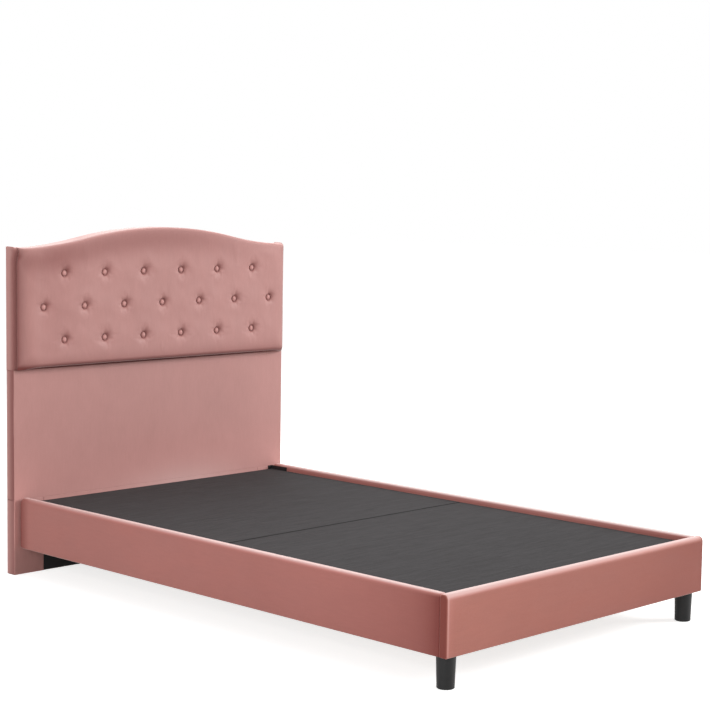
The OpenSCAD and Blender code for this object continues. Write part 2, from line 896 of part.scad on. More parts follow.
module cross_beam() {
    color(timber) difference() {
        block([-beam_x, beam_y[0], beam_low], [beam_x, beam_y[1], deck_low]);
        both_sides() saddle_beam_screws() screw_hole(steel_t);
        leg_beam_screws() screw_hole(steel_t);
    }
}

module beam_saddles() {
    color(black_steel) both_sides() difference() {
        union() {
            block([beam_x, beam_y[0] - saddle_ear, saddle_low],
                [end_ledge_x, beam_y[1] + saddle_ear, deck_low]);
            block([beam_x - saddle_l, beam_y[0], saddle_low], [end_ledge_x, beam_y[1], beam_low]);
        }
        saddle_ledge_screws() screw_hole(steel_t);
        saddle_beam_screws() screw_hole(steel_t);
    }
}

module saddle_screws() {
    color(zinc) both_sides() {
        saddle_ledge_screws() screw(steel_t);
        saddle_beam_screws() screw(steel_t);
    }
}

// Centre leg: a plate and a tube in one piece
module centre_leg() {
    p = leg_plate_w / 2;
    bore_h = leg_top - leg_roof - leg_clear;
    color(black_steel) difference() {
        union() {
            block([-p, seam_y - p, leg_top], [p, seam_y + p, beam_low]);
            translate([0, seam_y, leg_clear]) cylinder(r = leg_r, h = leg_top - leg_clear);
        }
        translate([0, seam_y, leg_clear]) cylinder(r = leg_r - leg_wall, h = bore_h);
        leg_beam_screws() screw_hole(steel_t);
    }
}

module leg_screws() {
    color(zinc) leg_beam_screws() screw(steel_t);
}

module leg_insert() {
    color(black_plastic) translate([0, seam_y, leg_clear]) difference() {
        cylinder(r = leg_r - leg_wall, h = insert_h);
        cylinder(r = stem_r + stem_fit, h = insert_h);
    }
}

module levelling_stem() {
    color(zinc) translate([0, seam_y, 0]) {
        translate([0, 0, stem_low]) cylinder(r = stem_r, h = stem_l);
        translate([0, 0, glide_h]) cylinder(r = stem_nut_w / 2 / cos(30), h = stem_nut_h, $fn = 6);
    }
}

module levelling_pad() {
    color(black_plastic) translate([0, seam_y, 0]) difference() {
        rotate_extrude() polygon([
            [0, 0], [glide_r, 0], [glide_r, glide_h / 2], [glide_r - glide_h / 2, glide_h], [0, glide_h]]);
        translate([0, 0, stem_low]) cylinder(r = stem_r + stem_fit, h = glide_h - stem_low);
    }
}

// One deck panel between two places along the bed: cloth over a board over a frame
module deck_cover(y) {
    t = deck_cloth_t;
    color(deck_cloth) difference() {
        block([-deck_x, y[0], deck_low], [deck_x, y[1], deck_top]);
        block([t - deck_x, y[0] + t, deck_low], [deck_x - t, y[1] - t, deck_top - t]);
    }
}

module deck_board(y) {
    t = deck_cloth_t;
    color(panel_wood) block([t - deck_x, y[0] + t, deck_frame_top], [deck_x - t, y[1] - t, deck_top - t]);
}

module deck_frame(y) {
    t = deck_cloth_t;
    w = deck_batten_w;
    color(timber) {
        both_sides() block([deck_x - t - w, y[0] + t, deck_low], [deck_x - t, y[1] - t, deck_frame_top]);
        for (c = spread(y[0] + t + w / 2, y[1] - t - w / 2, deck_batten_pitch))
            block([t + w - deck_x, c - w / 2, deck_low], [deck_x - t - w, c + w / 2, deck_frame_top]);
    }
}

module deck_head_board() {
    deck_board(deck_head_y);
}

module deck_head_frame() {
    deck_frame(deck_head_y);
}

module deck_head_cover() {
    deck_cover(deck_head_y);
}

module deck_foot_board() {
    deck_board(deck_foot_y);
}

module deck_foot_frame() {
    deck_frame(deck_foot_y);
}

module deck_foot_cover() {
    deck_cover(deck_foot_y);
}

top_board();
top_frame();
top_band();
tufted_pad();
tuft_buttons();
top_back_cloth();
middle_board();
middle_frame();
middle_cover();
middle_back_cloth();
base_board();
base_frame();
base_left_cover();
base_right_cover();
base_front_band();
base_front_cloth();
base_back_cloth();
joining_plates();
plate_screws();
left_rail_board();
left_rail_cover();
right_rail_board();
right_rail_cover();
foot_rail_board();
foot_rail_cover();
left_ledge();
right_ledge();
head_ledge();
foot_ledge();
ledge_screws();
head_brackets();
head_bracket_screws();
foot_brackets();
foot_bracket_screws();
corner_blocks();
left_foot();
right_foot();
foot_bolts();
cross_beam();
beam_saddles();
saddle_screws();
centre_leg();
leg_screws();
leg_insert();
levelling_stem();
levelling_pad();
deck_head_board();
deck_head_frame();
deck_head_cover();
deck_foot_board();
deck_foot_frame();
deck_foot_cover();
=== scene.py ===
"""Looks of an upholstered bed, dressed round its packed construction. Metres."""
import math

import bmesh
import bpy
import numpy as np
from mathutils import Matrix, Vector


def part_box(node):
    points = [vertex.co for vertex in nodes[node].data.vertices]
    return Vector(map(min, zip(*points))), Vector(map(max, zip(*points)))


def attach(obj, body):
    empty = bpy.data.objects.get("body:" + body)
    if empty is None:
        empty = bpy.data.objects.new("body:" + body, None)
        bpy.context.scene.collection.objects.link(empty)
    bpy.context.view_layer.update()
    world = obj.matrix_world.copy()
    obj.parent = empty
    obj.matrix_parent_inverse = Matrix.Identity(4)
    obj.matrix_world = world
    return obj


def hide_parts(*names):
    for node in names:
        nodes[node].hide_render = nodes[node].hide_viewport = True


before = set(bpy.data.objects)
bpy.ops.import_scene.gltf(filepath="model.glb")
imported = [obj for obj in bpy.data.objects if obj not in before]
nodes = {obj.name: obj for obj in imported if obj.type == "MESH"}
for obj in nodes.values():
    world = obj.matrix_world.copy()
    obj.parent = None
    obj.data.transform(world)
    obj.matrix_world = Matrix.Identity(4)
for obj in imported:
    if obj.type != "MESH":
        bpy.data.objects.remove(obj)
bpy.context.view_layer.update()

MM = 0.001
BED = "bed_frame"

# Camera, fitted to the bed's edges in the photograph
IMAGE_PX = 710
FOCAL_PX = 1772.2
SENSOR_MM = 36
CAMERA_AZIMUTH = math.radians(-45.467)
CAMERA_ELEVATION = math.radians(5.399)
CAMERA_ROLL = math.radians(0.806)
CAMERA_DISTANCE = 6.0801
CAMERA_TARGET = Vector((0.058, 0.001, 0.8289))

# Name, place, target, size and watts of each lamp
LAMPS = (("key", (8.5, -7.2, 5.0), (0.0, 0.0, 0.6), (4.0, 4.0), 1010),
         ("left_fill", (-6.4, -2.0, 2.6), (0.0, 0.0, 0.5), (3.0, 2.4), 172),
         ("back", (0.8, 2.6, 4.6), (0.0, -0.2, 0.3), (3.6, 3.6), 170))

# Level of the sky's light, and the floor's glow, which only the camera and reflections see
SKY_LEVEL = 0.38
FLOOR_GLOW = 0.76
FLOOR_SIZE = 60
FLOOR_COLOUR = (0.70, 0.695, 0.69, 1)

# Velvet: the dark and the light tone of each part, and how closely its brush marks lie
# along X, Y and Z. The headboard's tones are paler and the foot rail's darker than the side
# rails', as painted light and painted shade for how brightly each of these faces is lit
HEAD_LIT_TONES = ((0.445, 0.212, 0.193, 1), (0.515, 0.252, 0.231, 1))
RAIL_TONES = ((0.352, 0.111, 0.092, 1), (0.412, 0.137, 0.114, 1))
FOOT_SHADED_TONES = ((0.338, 0.099, 0.068, 1), (0.395, 0.121, 0.085, 1))
HEAD_STREAK = (2.0, 2.0, 0.8)
RAIL_STREAK = (0.7, 0.7, 2.0)
BUTTON_STREAK = (3.0, 3.0, 3.0)
# How much closer the finest streaks lie than the brush marks
FINE_STREAK = 6.0
FIBRE_TINT = (0.60, 0.33, 0.30, 1)
# Painted shade: the dark colour it mixes in, its share, and the roughness it adds; painted
# highlight: its warm and its pale colour
SHADE_COLOUR = (0.125, 0.010, 0.008, 1)
SHADE_SHARE = 0.66
SHADE_ROUGH = 0.38
HIGHLIGHT_WARM = (0.95, 0.34, 0.30, 1)
HIGHLIGHT_PALE = (0.94, 0.90, 0.88, 1)
SHEEN_TINT = (1.0, 0.80, 0.77, 1)

# Arch of the headboard, as the construction draws it
ARCH_RISE = 69 * MM
CROWN_SHARE = 0.55

# Tufted pad: where its seam lies, and how its face rolls towards each edge
SEAM_IN = 15 * MM
SEAM_BACK = 12.5 * MM
SIDE_OUT = 7 * MM
SIDE_FILL = 6
ROLL_W = 75 * MM
ROLL_STEPS = 15
ROLL_EASE = 1.4
BOW_H = 73 * MM
BOW = 5 * MM
BOW_STEPS = 11
TOP_Y = 18 * MM
TOP_Z = 13 * MM
TOP_STEPS = 5
CORNER_Y = 20 * MM
EAR = 9 * MM
EAR_IN = 3 * MM
EAR_H = 22 * MM
LOW_Y = 16 * MM
LOW_Z = 18 * MM
LIP_GAP = 8 * MM
LIP_W = 40 * MM
LIP_R = 3 * MM
CELL = 9 * MM
FINE_CELL = 2.6 * MM
BACK_R = 6.5 * MM
BACK_FOLD = 14 * MM
VELVET_T = 2 * MM
HEM_UP = 0.5 * MM
PAD_WAVE = 0.5 * MM
PAD_WAVE_L = 230 * MM

# Painted shade (1, dark) and painted highlight (-1, pale) on the pad, each with the distance over
# which it fades:
# shade in the seams, the shoulder crease, under the lip and to the upper right of each tuft,
# highlight at the top corners and to the lower left of each tuft; the face also darkens slightly all
# over and in bands below the top and on the left; DEEPEST_SHADE is the most painted shade allowed
CREST_CLEAR, CREST_H = 0.9, 10 * MM
SEAM_SHADE, SEAM_SHADE_W = 0.85, 26 * MM
SEAM_CORE, SEAM_CORE_W = 0.5, 20 * MM
SHOULDER_SHADE, SHOULDER_DROP, SHOULDER_H = 0.55, 30 * MM, 12 * MM
DEEPEST_SHADE = 1.25
LIP_CORE, LIP_CORE_H = 0.72, 10 * MM
LIP_SHADE, LIP_SHADE_H = 0.53, 41 * MM
UPPER_DARK, UPPER_DARK_DROP, UPPER_DARK_H = 0.46, 45 * MM, 50 * MM
UPPER_DARK_TO, UPPER_DARK_FADE = 0.3, 0.12
FACE_DARK = 0.04
LEFT_DARK, LEFT_X, LEFT_W = 0.16, -0.5, 0.09
CORNER_HIGHLIGHT, CORNER_HIGHLIGHT_H, CORNER_HIGHLIGHT_W = 0.42, 26 * MM, 0.08
TUFT_SHADE, TUFT_HIGHLIGHT = 0.62, 0.16

# Side strips of the pad
STRIP_LIP = 1.8 * MM
STRIP_PUFF = 9 * MM
STRIP_PUFF_W = 9 * MM
STRIP_PUFF_LEAST = 0.15
STRIP_FULL = 1.5 * MM
STRIP_BACK_R = 3 * MM
STRIP_OVER_WOOD = 0.9 * MM
STRIP_INNER = 5 * MM
BY_WOOD_Y, BY_WOOD_Z = 0.6 * MM, 0.4 * MM
# Painted shade along the strip's front seam, and deeper in the seam line itself
STRIP_SEAM_SHADE, STRIP_SHADE = 0.8, 17 * MM
SEAM_LINE_SHADE, SEAM_LINE_W = 0.5, 2.5 * MM

# Buttons and their tufts; the profile is radius and height in millimetres
BUTTON_DX = 181 * MM
BUTTON_DZ = 120 * MM
BUTTON_RISE = 103 * MM
BUTTON_ROWS = 3
SIDE_BUTTONS = 3
BUTTON_R = 12 * MM
BUTTON_REACH = BUTTON_R + 6 * MM
BUTTON_PROFILE = ((0.0, 7.2), (2.6, 7.1), (5.0, 6.6), (7.4, 5.5), (9.4, 4.0), (10.8, 2.2),
                  (11.6, 0.2), (11.4, -2.0), (9.6, -4.0), (0.0, -4.0))
BUTTON_SIDES = 36
BUTTON_PLEATS = 12
BUTTON_PLEAT_H = 0.25 * MM
# Painted shade on each button's rim, from this share of its radius outward, and a painted highlight
# over the dome
BUTTON_RIM = 0.55
BUTTON_HIGHLIGHT = 0.18
PULL_H = 6.5 * MM
PULL_R = 80 * MM
TUFT_H = 9 * MM
TUFT_R = 25 * MM
CREASE_H = 6 * MM
CREASE_R = 14.5 * MM
# Reach of the painted shade in the crease round each button
CREASE_SHADE_R = CREASE_R + 1 * MM
PUCKER_H = 0.7 * MM
PUCKER_R = 21 * MM
PUCKER_W = 0.4 * PUCKER_R
# Offset and size of the painted shade to the upper right and the painted highlight to the lower left
# of each tuft
TUFT_SPOT_OFF = 10 * MM
TUFT_SPOT_R = 15 * MM

# Cloth that swells between its pins, and how close to a seam, lip or crease it is pinned
SWELL_FRAMES = 20
SWELL_PRESSURE = 0.3
SWELL_CAP = 5 * MM
PIN_BACK = 4 * MM
PIN_SIDE = 3 * MM
PIN_LIP = 10 * MM
PIN_CREASE = 2 * MM

# Flat modules: velvet and foam over the face, and the fullness of the face
WRAP_R = 4 * MM
WRAP_END = 2 * MM
BAND_END = 0.8 * MM
WRAP_CELL = 22 * MM
MIDDLE_SKIN, MIDDLE_CROWN = 5 * MM, 2 * MM
BASE_SKIN, BASE_CROWN, BAND_CROWN = 3 * MM, 0.3 * MM, 0.2 * MM
CUT_BACK, CUT_EDGE = 0.5 * MM, [(0.3 * MM, 0.8 * MM), (1.2 * MM, 0)]
FACE_TUCK = 0.4
FACE_WAVE, FACE_WAVE_L = 0.35 * MM, 310 * MM
SIDE_FULL = 1.2 * MM
# Share of an edge's radius at which the face beside it is held flat
EDGE_HOLD = 1.4
# Painted shade behind the side folds and at the joints; painted light low on the faces, where it
# cancels shade
MIDDLE_FOLD_SHADE, BASE_FOLD_SHADE, FOLD_W = 0.95, 0.70, 26 * MM
LOW_LIGHT, LOW_LIGHT_H, LOW_LIGHT_EASE = 0.45, 110 * MM, 1.3
LOW_LIGHT_X, LOW_LIGHT_W, LOW_LIGHT_LEAST = 0.15, 0.33, 0.4
LOW_LIGHT_FROM, LOW_LIGHT_OVER = 80 * MM, 60 * MM

# Lining cloths and the staples along their edges; a staple's bend is along and out, in millimetres
LINING_IN, LINING_SIDE, FRONT_LINING_OUT = 1 * MM, 3 * MM, 6 * MM
ARCH_LINING_IN, ARCH_LINING_SIDE = 10 * MM, 8 * MM
LINING_EDGE, LINING_CELL, LINING_ROWS = 10 * MM, 24 * MM, 28
LINING_SLACK, LINING_WAVE_L = 0.25 * MM, 170 * MM
LINING_HEM, LINING_HEM_W = 0.35 * MM, 9 * MM
STAPLE_PITCH = 62 * MM
STAPLE_CLEAR = 8 * MM
PLATE_REACH = 60 * MM
STAPLE_IN = 6 * MM
STAPLE_R = 0.6 * MM
STAPLE_BEND = ((-5.0, -3.0), (-5.0, 0.1), (-4.5, 0.6), (4.5, 0.6), (5.0, 0.1), (5.0, -3.0))
STAPLE_ASKEW = 0.15

# Rails
EDGE_R = 8 * MM
LOW_EDGE_R = 5 * MM
ROLL_U = 12 * MM
ROLL_Z = 16 * MM
END_R = 20 * MM
SIDE_FOOT_R = 4 * MM
FOOT_END_R = 5 * MM
END_SQUARE = 0.35
RAIL_CELL = 24 * MM
RAIL_CROWN, INNER_CROWN = 1.3 * MM, 0.25
RAIL_TOP_CROWN, RAIL_LOW_CROWN = 0.6 * MM, -0.18 * MM
RAIL_FULL_FROM = 30 * MM
RAIL_WAVE, RAIL_WAVE_L = 0.5 * MM, 270 * MM

# Painted shade on the side rails towards their head and foot ends and in the shadow line at the head
# end; painted highlight along their top and on the inner face
HEAD_END_SHADE, HEAD_END_L = 0.95, 58 * MM
HEAD_LINE_SHADE, HEAD_LINE_L = 0.4, 7 * MM
FOOT_SHADE, FOOT_SHADE_L = 0.6, 220 * MM
FOOT_END_SHADE, FOOT_END_L = 0.55, 40 * MM
RAIL_TOP_H = 10 * MM
LEFT_TOP_HIGHLIGHT, RIGHT_TOP_HIGHLIGHT = 0.65, 0.9
HEAD_DULL, HEAD_DULL_L = 0.5, 170 * MM
INSIDE_SHARE, INSIDE_HIGHLIGHT = 0.4, 0.12

# Painted shade on the foot rail's ends and growing towards its far end; painted highlight down its
# near corner and along its top
ENDS_L = 2.5 * MM
NEAR_HIGHLIGHT, NEAR_X = 0.30, 5 * MM
NEAR_HIGH_HIGHLIGHT, NEAR_HIGH_L = 0.16, 60 * MM
FOOT_TOP_HIGHLIGHT, FOOT_TOP_H, FOOT_TOP_L = 0.7, 16 * MM, 12 * MM
FAR_SHADE, FAR_EASE = 0.65, 1.3
FAR_END_SHADE, FAR_END_L = 0.35, 6 * MM

# Deck panels' cloth
DECK_R = 4 * MM
DECK_CELL = 22 * MM
DECK_SIDE_CELL = 9 * MM
DECK_CLOTH_T = 1.8 * MM
DECK_SLACK, DECK_SLACK_W, DECK_WAVE_L = 0.35 * MM, 40 * MM, 140 * MM
RUCK_H, RUCK_L, RUCK_W = 0.12 * MM, 31 * MM, 16 * MM
DECK_SEAM_W = 6 * MM


# Camera, light and floor

def new_object(name, data):
    made = bpy.data.objects.new(name, data)
    bpy.context.scene.collection.objects.link(made)
    return made


def make_camera():
    a, e, r = CAMERA_AZIMUTH, CAMERA_ELEVATION, CAMERA_ROLL
    back = Vector((math.sin(a) * math.cos(e), -math.cos(a) * math.cos(e), math.sin(e)))
    level = Vector((math.cos(a), math.sin(a), 0))
    upright = back.cross(level)
    right = level * math.cos(r) + upright * math.sin(r)
    up = upright * math.cos(r) - level * math.sin(r)
    data = bpy.data.cameras.new("camera")
    data.sensor_width = SENSOR_MM
    data.lens = FOCAL_PX / IMAGE_PX * SENSOR_MM
    data.clip_end = 200
    camera = new_object("camera", data)
    turn = Matrix((right, up, back)).transposed()
    camera.matrix_world = Matrix.Translation(CAMERA_TARGET + back * CAMERA_DISTANCE) @ turn.to_4x4()
    bpy.context.scene.camera = camera


def area_light(name, place, target, size, watts):
    data = bpy.data.lights.new(name, "AREA")
    data.shape = "RECTANGLE"
    data.size, data.size_y = size
    data.energy = watts
    lamp = new_object(name, data)
    lamp.location = place
    lamp.rotation_euler = (Vector(target) - Vector(place)).to_track_quat("-Z", "Y").to_euler()


class Net:
    """Adds nodes to the node tree of a material or a world."""

    def __init__(self, owner):
        owner.use_nodes = True
        self.owner, self.tree = owner, owner.node_tree
        self.tree.nodes.clear()

    def add(self, kind, inputs=None, **settings):
        made = self.tree.nodes.new("ShaderNode" + kind)
        for key, value in settings.items():
            setattr(made, key, value)
        for key, value in (inputs or {}).items():
            if isinstance(value, bpy.types.NodeSocket):
                self.tree.links.new(value, made.inputs[key])
            else:
                made.inputs[key].default_value = value
        return made

    def math(self, operation, a, b):
        return self.add("Math", {0: a, 1: b}, operation=operation).outputs[0]

    def total(self, *parts):
        """Sum of values, each with its weight."""
        weighed = [self.math("MULTIPLY", value, weight) for value, weight in parts]
        result = weighed[0]
        for value in weighed[1:]:
            result = self.math("ADD", result, value)
        return result

    def range(self, value, low, high, to_low=0.0, to_high=1.0):
        keys = ("Value", "From Min", "From Max", "To Min", "To Max")
        return self.add("MapRange", dict(zip(keys, (value, low, high, to_low, to_high)))).outputs[0]

    def mix(self, factor, a, b):
        return self.add("Mix", {0: factor, 6: a, 7: b}, data_type="RGBA").outputs[2]

    def place(self, scale=None):
        """Where the surface's point lies on its object, scaled along X, Y and Z."""
        place = self.add("TexCoord").outputs["Object"]
        return self.add("Mapping", {"Vector": place, "Scale": scale}).outputs[0] if scale else place

    def noise(self, size, detail=2.0, rough=0.5, warp=0.0, scale=None):
        return self.add("TexNoise", {"Vector": self.place(scale), "Scale": size, "Detail": detail,
                                     "Roughness": rough, "Distortion": warp}).outputs[0]

    # The painted light of each point: above 0 painted shade, below 0 painted highlight
    def painted_light(self):
        return self.add("Attribute", attribute_name="painted_light").outputs["Fac"]

    def bump(self, height, depth, normal=None):
        inputs = {"Height": height, "Distance": depth, "Strength": 1.0}
        if normal is not None:
            inputs["Normal"] = normal
        return self.add("Bump", inputs).outputs[0]

    def seen(self):
        """1 for the camera and for what metal and glass show of the surroundings."""
        path = self.add("LightPath")
        direct = self.math("ADD", path.outputs["Is Camera Ray"], path.outputs["Is Glossy Ray"])
        total = self.math("ADD", direct, path.outputs["Is Transmission Ray"])
        return self.math("MINIMUM", total, 1.0)

    def surface(self, colour, rough, normal, **others):
        """Ends a material in its shader; others are more inputs, with _ for a space."""
        inputs = {"Base Color": colour, "Roughness": rough, "Normal": normal}
        inputs.update((key.replace("_", " "), value) for key, value in others.items())
        shader = self.add("BsdfPrincipled", inputs)
        self.add("OutputMaterial", {"Surface": shader.outputs[0]})
        return self.owner


def make_world():
    world = bpy.data.worlds.new("white_studio")
    net = Net(world)
    lit = net.add("Background", {"Color": (1, 1, 1, 1), "Strength": SKY_LEVEL})
    shown = net.add("Background", {"Color": (1, 1, 1, 1), "Strength": 1.0})
    both = net.add("MixShader", {0: net.seen(), 1: lit.outputs[0], 2: shown.outputs[0]})
    net.add("OutputWorld", {"Surface": both.outputs[0]})
    bpy.context.scene.world = world


def make_floor():
    half = FLOOR_SIZE / 2
    mesh = bpy.data.meshes.new("floor")
    mesh.from_pydata([(-half, -half, 0), (half, -half, 0), (half, half, 0), (-half, half, 0)],
                     [], [(0, 1, 2, 3)])
    floor = new_object("floor", mesh)
    net = new_material("pale_floor")
    matt = net.add("BsdfDiffuse", {"Color": FLOOR_COLOUR})
    glow = net.add("Emission", {"Color": (1, 1, 1, 1),
                                "Strength": net.math("MULTIPLY", net.seen(), FLOOR_GLOW)})
    both = net.add("AddShader", {0: matt.outputs[0], 1: glow.outputs[0]})
    net.add("OutputMaterial", {"Surface": both.outputs[0]})
    mesh.materials.append(net.owner)


# Materials

def new_material(name):
    return Net(bpy.data.materials.new(name))


def velvet(name, dark, light, streak):
    """Short-pile velvet; streak is how closely its brush marks lie along X, Y and Z; its colour
    carries painted shade and painted highlight from each point.
    """
    net = new_material(name)
    cloudy = net.noise(2.6, 3.0, 0.55, 0.6)
    brushed = net.noise(6.0, 4.0, 0.6, 0.3, streak)
    fibre = net.noise(900.0, 2.0, 0.6)
    fine = net.noise(6.0, 3.0, 0.7, scale=tuple(FINE_STREAK * s ** 2 for s in streak))
    tone = net.total((cloudy, 0.4), (brushed, 0.35), (fine, 0.25))
    colour = net.mix(net.range(tone, 0.36, 0.64), dark, light)
    colour = net.mix(net.range(fibre, 0.3, 0.7, 0.0, 0.18), colour, FIBRE_TINT)
    # Painted shade: darker towards a deep red where the point's value is above 0; painted highlight:
    # paler where it is below 0
    light_and_shade = net.painted_light()
    flat = net.math("MAXIMUM", light_and_shade, 0.0)
    colour = net.mix(net.math("MULTIPLY", flat, SHADE_SHARE), colour, SHADE_COLOUR)
    highlight_share = net.range(light_and_shade, -1.0, 0.0, 1.0, 0.0)
    colour = net.mix(highlight_share, colour, net.mix(highlight_share, HIGHLIGHT_WARM, HIGHLIGHT_PALE))
    rough = net.math("ADD", net.range(brushed, 0.3, 0.7, 0.50, 0.62),
                     net.math("MULTIPLY", flat, SHADE_ROUGH))
    ridged = net.bump(brushed, 0.3 * MM)
    return net.surface(colour, rough, net.bump(fibre, 0.06 * MM, ridged), Sheen_Weight=1.0,
                       Sheen_Roughness=0.32, Sheen_Tint=SHEEN_TINT, Specular_IOR_Level=0.4)


def lining():
    """Black non-woven cloth with a pattern of small pressed dots."""
    net = new_material("lining_cloth")
    fibre = net.noise(700.0, 4.0, 0.7, scale=(1.0, 1.0, 0.6))
    cells = net.add("TexVoronoi", {"Vector": net.place(), "Scale": 420.0, "Randomness": 0.25})
    dots = net.range(cells.outputs["Distance"], 0.15, 0.4)
    tone = net.total((fibre, 0.6), (net.noise(9.0, 3.0), 0.4))
    colour = net.mix(net.range(tone, 0.35, 0.65),
                     (0.010, 0.010, 0.0105, 1), (0.024, 0.0235, 0.024, 1))
    return net.surface(colour, net.range(fibre, 0.3, 0.7, 0.75, 0.95),
                       net.bump(fibre, 0.2 * MM, net.bump(dots, 0.12 * MM)), Specular_IOR_Level=0.25)


def deck_cloth():
    """Dark grey woven-look cloth, streaked and crinkled, with painted shade in the seam."""
    net = new_material("deck_cloth")
    streak = net.noise(1.6, 5.0, 0.65, 0.8, (5.0, 55.0, 1.0))
    slub = net.noise(1.0, 3.0, 0.6, 0.4, (24.0, 160.0, 1.0))
    warp = net.noise(1.0, 2.0, 0.6, scale=(420.0, 60.0, 60.0))
    crinkle = net.noise(38.0, 5.0, 0.62, 1.2)
    colour = net.mix(net.range(net.total((streak, 0.5), (slub, 0.5)), 0.36, 0.64),
                     (0.019, 0.0165, 0.0172, 1), (0.050, 0.047, 0.049, 1))
    colour = net.mix(net.range(warp, 0.35, 0.65, 0.0, 0.25), colour, (0.054, 0.051, 0.053, 1))
    # Painted shade in the seam
    colour = net.mix(net.math("MULTIPLY", net.painted_light(), 0.8), colour, (0.008, 0.007, 0.007, 1))
    ribbed = net.bump(slub, 0.5 * MM, net.bump(crinkle, 0.9 * MM))
    return net.surface(colour, net.range(slub, 0.3, 0.7, 0.72, 0.92),
                       net.bump(warp, 0.2 * MM, ribbed), Sheen_Weight=0.03, Sheen_Roughness=0.5,
                       Specular_IOR_Level=0.1)


def timber():
    """Planed softwood with growth rings."""
    net = new_material("timber")
    rings = net.add("TexWave", {"Vector": net.place((1.6, 14.0, 14.0)), "Scale": 2.2,
                                "Distortion": 7.0, "Detail": 3.0, "Detail Scale": 1.4},
                    wave_type="RINGS", rings_direction="X")
    grain = net.noise(3.0, 5.0, 0.6, scale=(6.0, 90.0, 90.0))
    tone = net.total((rings.outputs["Fac"], 0.45), (grain, 0.55))
    colour = net.mix(tone, (0.42, 0.24, 0.105, 1), (0.66, 0.47, 0.27, 1))
    cloudy = net.range(net.noise(2.0), 0.3, 0.7, 0.0, 0.3)
    colour = net.mix(cloudy, colour, (0.56, 0.36, 0.18, 1))
    return net.surface(colour, net.range(grain, 0.3, 0.7, 0.55, 0.75), net.bump(grain, 0.3 * MM),
                       Specular_IOR_Level=0.35)


def particle_board():
    """Pressed chips, light and dark, in a pale binder."""
    net = new_material("panel_wood")
    chips = net.add("TexVoronoi", {"Vector": net.place((90.0, 90.0, 240.0)), "Scale": 1.6})
    grit = net.noise(260.0, 3.0, 0.7)
    pale = net.mix(net.range(chips.outputs["Distance"], 0.0, 0.7),
                   (0.40, 0.25, 0.125, 1), (0.60, 0.43, 0.25, 1))
    colour = net.mix(net.range(grit, 0.45, 0.7, 0.0, 0.6), pale, (0.29, 0.165, 0.08, 1))
    return net.surface(colour, net.range(grit, 0.3, 0.7, 0.7, 0.9), net.bump(grit, 0.3 * MM),
                       Specular_IOR_Level=0.3)


def powder_coat():
    """Black powder coat on steel, with its fine orange peel."""
    net = new_material("black_steel")
    scuff = net.noise(5.0, 4.0, 0.7, scale=(30.0, 30.0, 4.0))
    colour = net.mix(net.range(scuff, 0.5, 0.75),
                     (0.016, 0.016, 0.017, 1), (0.040, 0.039, 0.040, 1))
    return net.surface(colour, net.range(scuff, 0.3, 0.7, 0.32, 0.5),
                       net.bump(net.noise(420.0), 0.15 * MM), Specular_IOR_Level=0.5)


def zinc():
    """Zinc-plated steel with a faint spangle and brush marks."""
    net = new_material("zinc_steel")
    spangle = net.add("TexVoronoi", {"Vector": net.place(), "Scale": 130.0})
    brushed = net.noise(1.0, scale=(40.0, 40.0, 900.0))
    colour = net.mix(net.range(spangle.outputs["Distance"], 0.0, 0.7),
                     (0.33, 0.34, 0.36, 1), (0.47, 0.48, 0.50, 1))
    return net.surface(colour, net.range(brushed, 0.3, 0.7, 0.28, 0.46),
                       net.bump(brushed, 0.05 * MM), Metallic=1.0)


def moulded_plastic():
    """Black plastic with a fine spark-eroded grain, a little rubbed."""
    net = new_material("black_plastic")
    rubbed = net.noise(3.0, 4.0, 0.65, scale=(8.0, 8.0, 20.0))
    colour = net.mix(net.range(rubbed, 0.35, 0.7),
                     (0.006, 0.006, 0.0063, 1), (0.012, 0.0118, 0.012, 1))
    return net.surface(colour, net.range(rubbed, 0.3, 0.7, 0.42, 0.58),
                       net.bump(net.noise(800.0, rough=0.6), 0.12 * MM), Specular_IOR_Level=0.3)


# Mesh helpers

def new_piece(name, verts, faces, material, replaces=(), body=BED):
    mesh = bpy.data.meshes.new(name)
    mesh.from_pydata([tuple(v) for v in verts], [], faces)
    tidy = bmesh.new()
    tidy.from_mesh(mesh)
    bmesh.ops.recalc_face_normals(tidy, faces=tidy.faces)
    tidy.to_mesh(mesh)
    tidy.free()
    mesh.shade_smooth()
    mesh.materials.append(material)
    piece = new_object(name, mesh)
    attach(piece, body)
    if replaces:
        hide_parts(*replaces)
    return piece


def strip_faces(rows, columns, closed):
    """Quads between neighbouring rows of points; closed joins each row's last point to its first."""
    last = columns if closed else columns - 1
    return [(i * columns + j, i * columns + (j + 1) % columns,
             (i + 1) * columns + (j + 1) % columns, (i + 1) * columns + j)
            for i in range(rows - 1) for j in range(last)]


def swept(rings):
    """A closed skin over rings of points, with a face on each end."""
    rows, columns = rings.shape[:2]
    faces = strip_faces(rows, columns, True)
    faces.append(tuple(range(columns)))
    faces.append(tuple((rows - 1) * columns + j for j in range(columns)))
    return rings.reshape(-1, 3), faces


def set_painted_light(piece, values, most=1.0):
    """Painted light at each point: 1 is full painted shade, dark; -1 is full painted highlight,
    pale.
    """
    layer = piece.data.attributes.new("painted_light", "FLOAT", "POINT")
    layer.data.foreach_set("value", np.clip(values, -1, most).astype(np.float32))


def thicken(piece, thickness, outward):
    """Turns an open skin's face the way given, and gives it a thickness behind that face."""
    facing = sum((polygon.normal * polygon.area for polygon in piece.data.polygons), Vector())
    if facing.dot(outward) < 0:
        piece.data.flip_normals()
    modifier = piece.modifiers.new("thickness", "SOLIDIFY")
    modifier.thickness = thickness
    modifier.offset = -1
    graph = bpy.context.evaluated_depsgraph_get()
    baked = bpy.data.meshes.new_from_object(piece.evaluated_get(graph))
    piece.modifiers.clear()
    piece.data = baked
    baked.shade_smooth()


